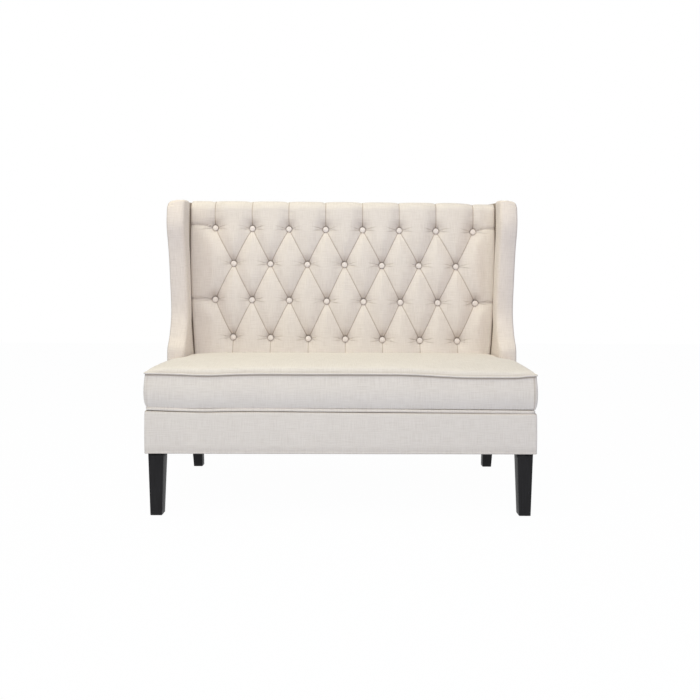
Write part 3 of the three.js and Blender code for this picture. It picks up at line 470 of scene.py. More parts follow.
class Nodes:
    """Builds a node tree; a source is a plain value or a (node, output) pair to join"""

    def __init__(self, tree):
        self.tree = tree
        tree.nodes.clear()

    def add(self, kind, sources=(), **settings):
        """A node with these settings, and a source for each of these inputs"""
        node = self.tree.nodes.new(kind)
        for key, value in settings.items():
            setattr(node, key, value)
        for socket, source in dict(sources).items():
            self.feed(node, socket, source)
        return node

    def feed(self, node, socket, source):
        if isinstance(source, tuple) and isinstance(source[0], bpy.types.Node):
            self.tree.links.new(source[0].outputs[source[1]], node.inputs[socket])
        else:
            node.inputs[socket].default_value = source

    def math(self, operation, *values):
        return (self.add("ShaderNodeMath", enumerate(values), operation=operation), "Value")


class Finish(Nodes):
    """A material with one Principled shader"""

    def __init__(self, name, roughness, **shader_values):
        self.material = bpy.data.materials.new(name)
        self.material.use_nodes = True
        super().__init__(self.material.node_tree)
        values = {key.replace("_", " "): value for key, value in shader_values.items()}
        self.shader = self.add("ShaderNodeBsdfPrincipled", {"Roughness": roughness, **values})
        self.add("ShaderNodeOutputMaterial", {"Surface": (self.shader, "BSDF")})

    def stretched_noise(self, source, scale, detail):
        """Noise stretched by a scale along each axis"""
        mapping = self.add("ShaderNodeMapping", {"Vector": source, "Scale": scale})
        noise = self.add("ShaderNodeTexNoise", {
            "Vector": (mapping, "Vector"), "Scale": 1.0, "Detail": detail})
        return (noise, "Fac")

    def ramp(self, value, low, high, start=0.0, end=1.0, easing="SMOOTHSTEP"):
        """A number that goes from start to end as value goes from low to high"""
        node = self.add("ShaderNodeMapRange", {
            "Value": value, "From Min": low, "From Max": high, "To Min": start, "To Max": end,
        }, interpolation_type=easing)
        return (node, "Result")

    def between(self, share, first, second, low=0.0, high=1.0):
        """Colour from first to second as share goes from low to high"""
        sources = {"Factor": self.ramp(share, low, high, easing="LINEAR")}
        for index, colour in ((6, first), (7, second)):
            joined = isinstance(colour[0], bpy.types.Node)
            sources[index] = colour if joined else (*colour, 1.0)
        return (self.add("ShaderNodeMix", sources, data_type="RGBA"), 2)

    def colour(self, source):
        self.feed(self.shader, "Base Color", source)

    def bump(self, height, distance, strength):
        node = self.add("ShaderNodeBump", {
            "Height": height, "Distance": distance, "Strength": strength})
        self.feed(self.shader, "Normal", (node, "Normal"))


def button_rays(linen, varied):
    """Thin puckers that fan out from each button, to both sides and upwards; their strength is
    used as painted shade and as bump depth
    """
    tuft = linen.add("ShaderNodeAttribute", attribute_name="tuft")
    split = linen.add("ShaderNodeSeparateXYZ", {"Vector": (tuft, "Vector")})
    aside = linen.math("ABSOLUTE", (split, "X"))
    angle = linen.math("ARCTAN2", (split, "Y"), aside)
    period = math.radians(19)
    bent = linen.math("ADD", linen.math("MULTIPLY", angle, math.tau / period),
                      linen.math("MULTIPLY", varied, 5.0))
    ridge = linen.math("POWER", linen.math("MAXIMUM", linen.math("COSINE", bent), 0.0), 3.0)
    off_level = linen.math("ABSOLUTE", linen.math("SUBTRACT", angle, math.radians(3)))
    level = linen.ramp(off_level, math.radians(11), math.radians(19), 1, 0)
    upward = linen.ramp(angle, math.radians(54), math.radians(62), 0, 0.75)
    fan = linen.math("ADD", level, upward)
    shorter = linen.math("ADD", (split, "Z"), linen.math("MULTIPLY", upward, 36 * MM))
    near = linen.ramp((split, "Z"), 9 * MM, 15 * MM)
    far = linen.ramp(shorter, 26 * MM, 64 * MM, 1, 0)
    strength = linen.math("MULTIPLY", linen.math("MULTIPLY", near, far),
                          linen.ramp(varied, 0.35, 0.62, 0.35, 1))
    return linen.math("MULTIPLY", linen.math("MULTIPLY", ridge, fan), strength)


def linen_finish(name, painted_light_tint, tufted):
    """Cream linen: a plain weave with slubs both ways, with painted shade mixed in where it is
    folded in
    """
    settings = bpy.context.scene
    colours = settings.settee_colours
    pitch = settings.settee_sizes.thread_pitch
    linen = Finish(name, 0.88, Sheen_Weight=0.15, Sheen_Roughness=0.5,
                   Specular_IOR_Level=0.25)
    threads = (linen.add("ShaderNodeUVMap", uv_map="weave"), "UV")
    split = linen.add("ShaderNodeSeparateXYZ", {"Vector": threads})
    waves = [linen.math("SINE", linen.math("MULTIPLY", (split, axis), math.tau / pitch))
             for axis in ("X", "Y")]
    weave = linen.math("MULTIPLY", *waves)
    weft = linen.stretched_noise(threads, (22, 430, 1), 3)
    warp = linen.stretched_noise(threads, (430, 22, 1), 3)
    slubs = linen.math("ADD", weft, warp)
    mottle = linen.stretched_noise(threads, (9, 9, 9), 2)
    # The tint lightens or tints this copy of the linen as painted light
    plain, dark = (tuple(min(1.0, part * share) for part, share in zip(colour, painted_light_tint))
                   for colour in (colours.linen, colours.linen_slub))
    cloth = linen.between(slubs, dark, plain, 0.50, 1.16)
    paler = tuple(min(1.0, part * 1.06) for part in plain)
    tinted = linen.between(mottle, cloth, paler, 0.45, 1.7)
    crease = (linen.add("ShaderNodeAttribute", attribute_name="crease"), "Fac")
    # Painted shade: darker towards the fold shade where a point is marked as lying in a fold,
    # groove or crevice
    with_painted_shade = linen.between(crease, tinted, colours.painted_fold_shade)
    height = linen.math("ADD", linen.math("MULTIPLY", weave, 0.25), slubs)
    if tufted:
        rays = button_rays(linen, linen.stretched_noise(threads, (24, 24, 24), 1))
        # Painted shade along the puckers round each button, which also sink into the bump
        with_painted_shade = linen.between(rays, with_painted_shade, colours.painted_fold_shade, 0.0, 1.9)
        height = linen.math("SUBTRACT", height, linen.math("MULTIPLY", rays, 7.0))
    linen.colour(with_painted_shade)
    linen.bump(height, 0.5 * MM, 0.5)
    return linen.material


def leg_finish():
    """Dark satin paint over wood, rubbed paler along the edges"""
    paint = bpy.context.scene.settee_colours.leg_paint
    leg = Finish("dark_leg_paint", 0.46, Specular_IOR_Level=0.17, Coat_Weight=0.03,
                 Coat_Roughness=0.3)
    place = (leg.add("ShaderNodeTexCoord"), "Object")
    grain = leg.stretched_noise(place, (260, 260, 14), 4)
    worn = tuple(part * 3.2 + 0.01 for part in paint)
    grained = leg.between(grain, paint, tuple(part * 1.7 for part in paint), 0.35, 0.75)
    wear = leg.math("MULTIPLY", (leg.add("ShaderNodeAttribute", attribute_name="crease"), "Fac"),
                    leg.stretched_noise(place, (90, 90, 30), 3))
    leg.colour(leg.between(wear, grained, worn, 0.25, 0.7))
    leg.bump(grain, 0.25 * MM, 0.35)
    return leg.material


def timber_finish():
    """Bare planed hardwood with long grain"""
    timber = bpy.context.scene.settee_colours.timber
    wood = Finish("frame_hardwood", 0.62)
    place = (wood.add("ShaderNodeTexCoord"), "Object")
    grain = wood.stretched_noise(place, (6, 90, 90), 6)
    pores = wood.stretched_noise(place, (30, 700, 700), 2)
    dark = tuple(part * 0.62 for part in timber)
    grained = wood.between(grain, dark, timber, 0.3, 0.65)
    wood.colour(wood.between(pores, dark, grained, 0.25, 0.45))
    wood.bump(pores, 0.2 * MM, 0.4)
    return wood.material


def spring_finish():
    """Oiled spring wire, blued and lightly rusted in spots"""
    wire = Finish("spring_wire", 0.38, Metallic=0.95)
    place = (wire.add("ShaderNodeTexCoord"), "Object")
    spots = wire.stretched_noise(place, (60, 60, 60), 4)
    wire.colour(wire.between(spots, (0.27, 0.29, 0.31), (0.22, 0.13, 0.08), 0.55, 0.8))
    wire.bump(spots, 0.2 * MM, 0.3)
    return wire.material


def coarse_cloth_finish(name, light, dark, pitch):
    """Open plain weave on object coordinates, for lining cloths and webbing"""
    cloth = Finish(name, 0.93)
    place = (cloth.add("ShaderNodeTexCoord"), "Object")
    split = cloth.add("ShaderNodeSeparateXYZ", {"Vector": place})
    turns = math.tau / pitch
    across = cloth.math("SINE", cloth.math("MULTIPLY", (split, "X"), turns))
    rise = cloth.math("ADD", (split, "Y"), (split, "Z"))
    along = cloth.math("SINE", cloth.math("MULTIPLY", rise, turns))
    weave = cloth.math("MULTIPLY", across, along)
    fuzz = cloth.stretched_noise(place, (150, 150, 150), 3)
    threads = cloth.math("ADD", cloth.math("MULTIPLY", weave, 0.25), fuzz)
    cloth.colour(cloth.between(threads, dark, light, 0.2, 0.8))
    cloth.bump(weave, 0.4 * MM, 0.6)
    return cloth.material


def linen_cloth(name="cream_linen"):
    """A linen that is made once and shared by the covers that need it"""
    return bpy.data.materials.get(name) or linen_finish(name, *LINENS[name])


# Tufted back

def tuft_places():
    """(row, column, x, z) of each button, lowest row first; rows are shifted by half a pitch"""
    return [
        (row, column, column * COLUMN_PITCH, LOWEST_BUTTON_HEIGHT + row * ROW_PITCH)
        for row in range(BUTTON_ROWS)
        for column in range(-OUTER_COLUMN, OUTER_COLUMN + 1)
        if (column + row) % 2 == 0
    ]


def tuft_pleats():
    """Folds along the diamonds, up over the top, down to the seat and out to the wings"""
    places = tuft_places()
    taken = {(row, column) for row, column, _, _ in places}
    pleats = []
    for row, column, x, z in places:
        for side in (-1, 1):
            if (row + 1, column + side) in taken:
                pleats.append((x, z, x + side * COLUMN_PITCH, z + ROW_PITCH))
        if row == BUTTON_ROWS - 1:
            pleats.append((x, z, x, z + 2 * ROW_PITCH))
        if row == 0:
            pleats.append((x, z, x, z - 2 * ROW_PITCH))
        if abs(column) == OUTER_COLUMN:
            turn_x = x + math.copysign(34 * MM, x)
            turn_z = z + (12 * MM if row == BUTTON_ROWS - 1 else 2 * MM)
            pleats.append((x, z, turn_x, turn_z))
            pleats.append((turn_x, turn_z, turn_x + math.copysign(2 * BUTTON_PITCH, x), turn_z))
    return pleats


def nearest_pleat(x, z):
    """Distance to the nearest pleat, and how far above it a point lies"""
    near = np.full(x.shape, 10.0)
    above = np.zeros(x.shape)
    for x0, z0, x1, z1 in tuft_pleats():
        dx, dz = x1 - x0, z1 - z0
        along = np.clip(((x - x0) * dx + (z - z0) * dz) / (dx * dx + dz * dz), 0, 1)
        off_x = x - x0 - along * dx
        off_z = z - z0 - along * dz
        distance = np.hypot(off_x, off_z)
        closer = distance < near
        near = np.where(closer, distance, near)
        above = np.where(closer, off_z, above)
    return near, above


def nearest_button(x, z):
    """Distance to the nearest button, and how far right of it and above it a point lies"""
    places = np.array([place[2:] for place in tuft_places()])
    off_x, off_z = x[..., None] - places[:, 0], z[..., None] - places[:, 1]
    distance = np.hypot(off_x, off_z)
    pick = distance.argmin(axis=-1)[..., None]
    return tuple(np.take_along_axis(values, pick, -1)[..., 0]
                 for values in (distance, off_x, off_z))


def slipped(x, z):
    """Where hand work leaves the points of the even lattice"""
    places = tuft_places()
    stray = np.random.default_rng(STRAY_SEED).uniform(-STRAY, STRAY, (len(places), 2))
    row, _, bx, bz = np.array(places).T
    slip_x = mix(DRIFT_LOW, DRIFT_TOP, row / (BUTTON_ROWS - 1)) - DRAWN_IN * bx + stray[:, 0]
    slip_z = LIFT * np.sin(math.pi * row / (BUTTON_ROWS - 1)) - SAG * bx + stray[:, 1]
    reach = (x[..., None] - bx) ** 2 + (z[..., None] - bz) ** 2
    weight = np.exp((reach.min(axis=-1, keepdims=True) - reach) / (2 * SLIP_SPREAD ** 2))
    weight /= weight.sum(axis=-1, keepdims=True)
    top_row = LOWEST_BUTTON_HEIGHT + (BUTTON_ROWS - 1) * ROW_PITCH
    inside = smooth_step(pad_half_at(z) - np.abs(x), 0, SLIP_SIDE_FADE)
    held = smooth_step(z, SEAT_LINE + 16 * MM, LOWEST_BUTTON_HEIGHT - 10 * MM)
    held = held * (1 - smooth_step(z, top_row + 15 * MM, top_row + ROW_PITCH / 2))
    return x + weight @ slip_x * inside, z + weight @ slip_z * held


def whiskers(x, z):
    """Depth of the small puckers that run out from each button"""
    draw = np.random.default_rng(WHISKER_SEED)
    depth = np.zeros(x.shape)
    for _, _, bx, bz in tuft_places():
        close = (np.abs(x - bx) < WHISKER_REACH) & (np.abs(z - bz) < WHISKER_REACH)
        dx, dz = (x - bx)[close], (z - bz)[close]
        for heading, lengths, depths in WHISKERS:
            angle = math.radians(heading + draw.uniform(-4, 4))
            reach, strength = draw.uniform(*lengths) * MM, draw.uniform(*depths) * MM
            along = dx * math.cos(angle) + dz * math.sin(angle)
            across = dz * math.cos(angle) - dx * math.sin(angle)
            groove = bell(across, 1.6 * MM + 0.05 * along) * smooth_step(along, 9 * MM, 14 * MM)
            depth[close] += strength * groove * (1 - smooth_step(along, 0.4 * reach, reach))
    return depth


def tufted_proud(x, z):
    """How far the cover stands in front of the button seats, and the painted shade in its pleat
    lines, round its buttons and above them
    """
    sizes = bpy.context.scene.settee_sizes
    pull, aside, above_button = nearest_button(x, z)
    fold, above_fold = nearest_pleat(x, z)
    pulled = mix(bell(pull, BUTTON_PULL), bell(pull, NEAR_PULL), NEAR_PULL_SHARE)
    lift = sizes.pleat_lift * (1 - pulled)
    fold_edge = np.where(above_fold > 0, UPPER_FOLD_EDGE, LOWER_FOLD_EDGE)
    strip = smooth_step(np.abs(x), OUTER_BUTTON, OUTER_BUTTON + STRIP_WIDTH)
    swell = mix(1 - bell(fold, PUFF_WIDTH), soft(fold, fold_edge),
                mix(FOLD_SHARPNESS, STRIP_SHARPNESS, strip)) * mix(1, STRIP_PUFF_SHARE, strip)
    uneven = 1 + 0.05 * np.sin(19 * x + 7 * z) + 0.04 * np.sin(31 * z - 11 * x)
    puff = sizes.puff_rise * uneven * swell * soft(pull, PUFF_START)
    side = mix(SIDE_SHARE, 1, soft(pad_half_at(z) - np.abs(x), SIDE_ROLL))
    proud = (lift + puff - whiskers(x, z)) * side
    proud = np.where(pull < BUTTON_SEAT, np.minimum(proud, 0), np.maximum(proud, 0))
    # Painted shade: thin dark pleat lines, a ring round each button seat, and darker cloth in the
    # V above each button
    shade = 0.75 * bell(fold, 1.3 * MM) * smooth_step(pull, 9 * MM, 16 * MM)
    ring = 0.5 * bell(pull - BUTTON_SEAT, 2 * MM)
    painted_shade_above_button = 0.2 * bell(aside, 16 * MM) * smooth_step(above_button, 6 * MM, 14 * MM)
    painted_shade_above_button *= 1 - smooth_step(above_button, 20 * MM, 52 * MM)
    return proud, np.clip(shade + ring + painted_shade_above_button, 0, 1)


def tuft_rows():
    """Heights of the rows that run down behind the seat, and of those on the lattice"""
    step = ROW_PITCH / CELL_STEPS
    below = np.concatenate([
        np.linspace(PAD_BOTTOM, SEAT_LINE - 12 * MM, 4),
        np.linspace(SEAT_LINE - 6 * MM, LOWEST_BUTTON_HEIGHT, 13)[:-1],
    ])
    return below, np.arange(LOWEST_BUTTON_HEIGHT, ROLL_START + step / 2, step)


def tuft_columns_at(z):
    inner = np.linspace(-OUTER_COLUMN, OUTER_COLUMN, 2 * OUTER_COLUMN * CELL_STEPS + 1)
    share = 0.5 - 0.5 * np.cos(np.linspace(0, math.pi, CELL_STEPS + 1))
    right = mix(OUTER_BUTTON, pad_half_at(z), share[1:])
    return np.concatenate([-right[::-1], inner * COLUMN_PITCH, right])


def rolled_top(x, depth, start, crease):
    """Depth, height and shade of the rows that go on from the last one over the top"""
    rear = rear_depth_at(FRAME_TOP) - FIT_GAP
    crest = FRAME_TOP + PAD_TOP_RISE
    top_buttons = [bx for row, _, bx, _ in tuft_places() if row == BUTTON_ROWS - 1]
    pleat = np.min([np.abs(x - bx) for bx in top_buttons], axis=0)
    drawn = 2 * MM * np.exp(-pleat / (9 * MM)) + 1.5 * MM * np.exp(-pleat / (2.5 * MM))
    drawn += 1.5 * MM * (1 - soft(pad_half_at(ROLL_START) - np.abs(x), SIDE_ROLL))
    drawn += SAG / 2 * x + 4 * MM * smooth_step(x, 400 * MM, 560 * MM)
    rows = []
    for turn in np.linspace(0, math.pi / 2, 15)[1:]:
        rows.append((mix(depth, rear, CREST_SHARE * (1 - math.cos(turn))),
                     start + (crest - drawn - start) * math.sin(turn), crease))
    for share in np.linspace(CREST_SHARE, 1, 14)[1:]:
        fall = ((share - CREST_SHARE) / (1 - CREST_SHARE)) ** 2.4
        rows.append((mix(depth, rear, share),
                     mix(crest - drawn, crest - 21 * MM - 0.3 * drawn, fall),
                     crease * (1 - fall)))
    return np.swapaxes(rows, 0, 1)


def tuft_faces(rows, size, low_rows):
    """Quads round the cover, but in the lattice triangles whose long sides lie in the pleats"""
    faces = []
    for j in range(rows - 1):
        block_z = (j - low_rows) // CELL_STEPS
        for i in range(size):
            k = (i + 1) % size
            a, b, c, d = j * size + i, j * size + k, (j + 1) * size + k, (j + 1) * size + i
            block_x = i // CELL_STEPS - 1 - OUTER_COLUMN
            if not (0 <= block_z < BUTTON_ROWS - 1 and -OUTER_COLUMN <= block_x < OUTER_COLUMN):
                faces.append((a, b, c, d))
            elif (block_x + block_z) % 2 == 0:
                faces += [(a, b, c), (a, c, d)]
            else:
                faces += [(a, b, d), (b, c, d)]
    return faces + end_caps(rows, size)


def tufted_back():
    """Deep-buttoned cover on a lattice whose diagonals are the pleats, rolled over the top"""
    below, lattice = tuft_rows()
    heights = np.concatenate([below, lattice])
    x = np.array([tuft_columns_at(z) for z in heights])
    z = np.repeat(heights[:, None], x.shape[1], axis=1)
    # The second value is the painted shade of each point, carried on over the rolled top
    proud, crease = tufted_proud(x, z)
    tufts = np.stack(nearest_button(x, z), axis=-1)[..., [1, 2, 0]]
    tufts[..., 2] = np.minimum(tufts[..., 2], FAR_FROM_BUTTONS)
    x, z = slipped(x, z)
    seat_plane = button_depth_at(z)
    behind_seat = np.minimum(seat_plane + PAD_BEHIND_BUTTONS - FIT_GAP,
                             np.maximum(SEAT_DEPTH + 1 * MM, seat_plane))
    depth = mix(behind_seat, seat_plane - proud,
                smooth_step(z, SEAT_LINE - 22 * MM, SEAT_LINE - 8 * MM))

    roll_depth, roll_z, roll_shade = rolled_top(x[-1], depth[-1], heights[-1], crease[-1])
    roll = len(roll_depth)
    all_x = np.vstack([x, np.repeat(x[-1:], roll, axis=0)])
    all_depth = np.vstack([depth, roll_depth])
    all_z = np.vstack([z, roll_z])
    rows, columns = all_x.shape

    # Each row is closed round the back by two points
    under = FRAME_TOP + FIT_GAP
    back_depth = button_depth_at(np.minimum(all_z[:, 0], under)) + PAD_BEHIND_BUTTONS
    middle_depth = all_depth[:, columns // 2]
    back_depth[-roll:] = np.maximum(middle_depth[-roll:],
                                    button_depth_at(under) + PAD_BEHIND_BUTTONS)
    back_z = all_z[:, 0].copy()
    back_z[-roll:] = under
    back_x = all_x[:, -1]
    ring_x = np.column_stack([all_x, back_x, -back_x])
    ring_depth = np.column_stack([all_depth, back_depth, back_depth])
    ring_z = np.column_stack([all_z, back_z, back_z])
    shades = np.column_stack([np.vstack([crease, roll_shade]), np.zeros((rows, 2))])
    size = columns + 2
    piece = cloth_piece("tufted_back_cover", in_frame(ring_x, ring_depth, ring_z),
                        tuft_faces(rows, size, len(below)), shades.ravel())
    away = np.full((rows, size, 3), FAR_FROM_BUTTONS)
    away[:len(heights), :columns] = tufts
    rays = piece.data.attributes.new("tuft", "FLOAT_VECTOR", "POINT")
    rays.data.foreach_set("vector", away.ravel())
    return piece


class SETTEE_OT_tufted_back(bpy.types.Operator):
    """Make the diamond-tufted cover of the back"""

    bl_idname = "settee.tufted_back"
    bl_label = "Tufted back"

    def execute(self, context):
        dress(tufted_back(), linen_cloth("tufted_linen"), ["back_pad"])
        return {"FINISHED"}


# Buttons

def turned_mesh(name, profile, sides):
    """A profile of (radius, height) pairs turned about Z; both ends lie on the axis"""
    points = [(0, 0, profile[0][1])]
    faces = []
    rings = profile[1:-1]
    for radius, height in rings:
        for k in range(sides):
            turn = math.tau * k / sides
            points.append((radius * math.cos(turn), radius * math.sin(turn), height))
    points.append((0, 0, profile[-1][1]))
    tip = len(points) - 1
    for k in range(sides):
        n = (k + 1) % sides
        faces.append((0, 1 + n, 1 + k))
        for r in range(len(rings) - 1):
            a = 1 + r * sides
            faces.append((a + k, a + n, a + sides + n, a + sides + k))
        top = 1 + (len(rings) - 1) * sides
        faces.append((top + k, top + n, tip))
    return make_piece(name, points, faces)


def button_shape():
    """Covered button: a gathered back, a rolled rim and a low domed face"""
    radius = bpy.context.scene.settee_sizes.button_radius
    rim = 2.2 * MM
    profile = [(0, 0.4 * MM), (0.55 * radius, 1.4 * MM), (radius - 1.2 * MM, BUTTON_STAND)]
    for turn in np.linspace(-60, 75, 6):
        angle = math.radians(turn)
        profile.append((radius - 1.3 * MM + 1.3 * MM * math.cos(angle),
                        BUTTON_STAND + rim + rim * math.sin(angle)))
    dome = profile[-1]
    for share in (0.9, 0.75, 0.55, 0.3):
        profile.append((dome[0] * share, dome[1] + 2.1 * MM * (1 - share * share)))
    profile.append((0, dome[1] + 2.1 * MM))
    button = turned_mesh("button_shape", profile, 26)
    heights = read(button.data.vertices, "co", 3)[:, 2]
    # Painted shade on the button's back and the foot of its rim, fading up the rim
    mark_painted_shade_and_wear(button, 0.6 * np.exp(-np.maximum(heights - BUTTON_STAND, 0) / (1.2 * MM)))
    lay_weave(button)
    return button


class GeometryTree(Nodes):
    """A Geometry Nodes tree with named inputs"""

    def __init__(self, name, **inputs):
        super().__init__(bpy.data.node_groups.new(name, "GeometryNodeTree"))
        new_socket = self.tree.interface.new_socket
        for label, kind in {"Geometry": "Geometry", **inputs, "Material": "Material"}.items():
            new_socket(label, in_out="INPUT", socket_type=f"NodeSocket{kind}")
        new_socket("Geometry", in_out="OUTPUT", socket_type="NodeSocketGeometry")
        self.group = self.add("NodeGroupInput")

    def given(self, label):
        return (self.group, label)

    def end(self, geometry):
        """Realize Instances and Set Material, the last nodes of every tree"""
        real = self.add("GeometryNodeRealizeInstances", {0: geometry})
        painted = self.add("GeometryNodeSetMaterial", {
            "Geometry": (real, 0), "Material": self.given("Material")})
        self.add("NodeGroupOutput", {"Geometry": (painted, "Geometry")})
        return self.tree


def run_tree(piece, tree, **values):
    """Runs a tree on a piece with these inputs, and keeps the result as a plain mesh"""
    modifier = piece.modifiers.new(tree.name, "NODES")
    modifier.node_group = tree
    for item in tree.interface.items_tree:
        if item.in_out == "INPUT" and item.name in values:
            modifier[item.identifier] = values[item.name]
    return baked(piece)


def button_tree():
    """One button on every point, tilted to the rake of the back and turned at random"""
    tree = GeometryTree("settee_buttons", Button="Object", Tilt="Float", Seed="Int")
    points = tree.add("GeometryNodeMeshToPoints", {"Mesh": tree.given("Geometry")})
    button = tree.add("GeometryNodeObjectInfo", {"Object": tree.given("Button")})
    tilt = tree.add("ShaderNodeCombineXYZ", {"X": tree.given("Tilt")})
    placed = tree.add("GeometryNodeInstanceOnPoints", {
        "Points": (points, "Points"), "Instance": (button, "Geometry"),
        "Rotation": (tilt, "Vector")})
    turn = tree.add("FunctionNodeRandomValue", {"Max": math.tau, "Seed": tree.given("Seed")},
                    data_type="FLOAT")
    number = [output.enabled for output in turn.outputs].index(True)
    spin = tree.add("ShaderNodeCombineXYZ", {"Z": (turn, number)})
    turned = tree.add("GeometryNodeRotateInstances", {
        "Instances": (placed, "Instances"), "Rotation": (spin, "Vector")})
    return tree.end((turned, "Instances"))


class SETTEE_OT_buttons(bpy.types.Operator):
    """Set a covered button in every tuft"""

    bl_idname = "settee.buttons"
    bl_label = "Covered buttons"

    def execute(self, context):
        places = np.array(tuft_places())
        x, z = slipped(places[:, 2], places[:, 3])
        points = in_frame(x, button_depth_at(z), z)
        material = linen_cloth("button_linen")
        shape = button_shape()
        holder = make_piece("covered_buttons", points, [])
        buttons = run_tree(holder, button_tree(), Button=shape, Tilt=math.pi / 2 + BACK_RAKE,
                           Seed=BUTTON_SEED, Material=material)
        bpy.data.objects.remove(shape)
        if len(buttons.data.polygons) < len(places):
            raise RuntimeError("the buttons were not made")
        dress(buttons, material, BUTTON_NODES)
        return {"FINISHED"}


# Seat

def seam_sag(x, depth):
    """How far the seat's front seam hangs below its level: slack by the two corners"""
    left = 4.5 * MM * bell(x + 430 * MM, 90 * MM)
    right = 10 * MM * smooth_step(x, 160 * MM, 430 * MM)
    corner = 5 * MM * smooth_step(x, 550 * MM, 620 * MM)
    return (left + right - corner) * (1 - smooth_step(depth, 40 * MM, 290 * MM))


def groove_drop(x):
    """The groove over the base cover runs down a little to the right, and dips by the left leg"""
    return GROOVE_SLOPE * x / HALF_WIDTH + 3 * MM * bell(x + 455 * MM, 100 * MM)


def seat_top_at(x, depth):
    """Quick rise behind the welt, then a slow crown that eases towards the back"""
    def rise(distance, quick_share):
        return mix(soft(distance, CROWN_SLOW_RISE), soft(distance, CROWN_QUICK_RISE), quick_share)
    crown = bpy.context.scene.settee_sizes.seat_crown
    rear = np.maximum(0, (depth - CROWN_LEVEL_DEPTH) / (SEAT_DEPTH - CROWN_LEVEL_DEPTH))
    body = (rise(SEAM_HALF_WIDTH - np.abs(x), CROWN_SIDE_QUICK_SHARE)
            * rise(depth - SEAM_FRONT, CROWN_QUICK_SHARE))
    level = SEAT_SEAM + crown * body * (1 - CROWN_REAR_DROP * rear * rear)
    return level - seam_sag(x, depth)


def graded(start, end, first, last_step):
    """Distances from start to end that begin with a small step and grow to an even one"""
    values, step = [start], first
    while values[-1] + step < end - step / 2:
        values.append(values[-1] + step)
        step = min(step * 1.4, last_step)
    return np.array(values + [end])


def seat_grid():
    """Columns and rows of the seat's top, finer near the welt"""
    arm = SEAM_HALF_WIDTH - graded(0, SEAM_HALF_WIDTH - SEAT_NECK, 1.2 * MM, 9 * MM)
    neck = np.linspace(SEAT_NECK, 0, 58)[1:]
    half = np.concatenate([arm, neck])
    columns = np.concatenate([-half, half[-2::-1]])
    front = graded(SEAM_FRONT, ARM_END, 2 * MM, 10 * MM)
    rear = np.linspace(ARM_END, SEAT_DEPTH, 24)[1:]
    return columns, np.concatenate([front, rear])


def rounded_corner(x, depth):
    """Draws the two front corners of the seat's plan into arcs"""
    side = np.clip((np.abs(x) - SEAM_HALF_WIDTH + SEAT_CORNER) / SEAT_CORNER, 0, 1)
    ahead = np.clip((SEAM_FRONT + SEAT_CORNER - depth) / SEAT_CORNER, 0, 1)
    new_x = np.abs(x) + SEAT_CORNER * (side * np.sqrt(1 - ahead ** 2 / 2) - side)
    new_depth = depth - SEAT_CORNER * (ahead * np.sqrt(1 - side ** 2 / 2) - ahead)
    return np.sign(x) * new_x, new_depth


def rim_of(faces):
    """Edges that only one face has, followed round in order"""
    sides = {(a, b) for face in faces for a, b in zip(face, face[1:] + face[:1])}
    follow = {a: b for a, b in sides if (b, a) not in sides}
    rim = [next(iter(sorted(follow)))]
    while follow[rim[-1]] != rim[0]:
        rim.append(follow[rim[-1]])
    return rim


def seat_plan():
    """Points of the T-shaped plan, and the cells between them"""
    columns, rows = seat_grid()
    index, plan, cells = {}, [], []
    for j, depth in enumerate(rows):
        for i, x in enumerate(columns):
            if depth <= ARM_END + FIT_GAP or abs(x) <= SEAT_NECK + FIT_GAP:
                index[i, j] = len(plan)
                plan.append((x, depth))
    for j in range(len(rows) - 1):
        for i in range(len(columns) - 1):
            corners = [(i, j), (i + 1, j), (i + 1, j + 1), (i, j + 1)]
            if all(corner in index for corner in corners):
                cells.append(tuple(index[corner] for corner in corners))
    return np.array(plan), cells


def boxing_swell(share, turned):
    """How far the side panels stand out at a share of their height, front (0) or side (1)"""
    bulge = bpy.context.scene.settee_sizes.boxing_bulge
    swell = bulge * 4 * share * (1 - share) * mix(1.25, 0.75, share)
    drawn = 2 * MM * math.exp(-share / 0.06)
    return swell * mix(1, SIDE_SWELL_SHARE, turned) - drawn * (1 + 1.5 * turned)


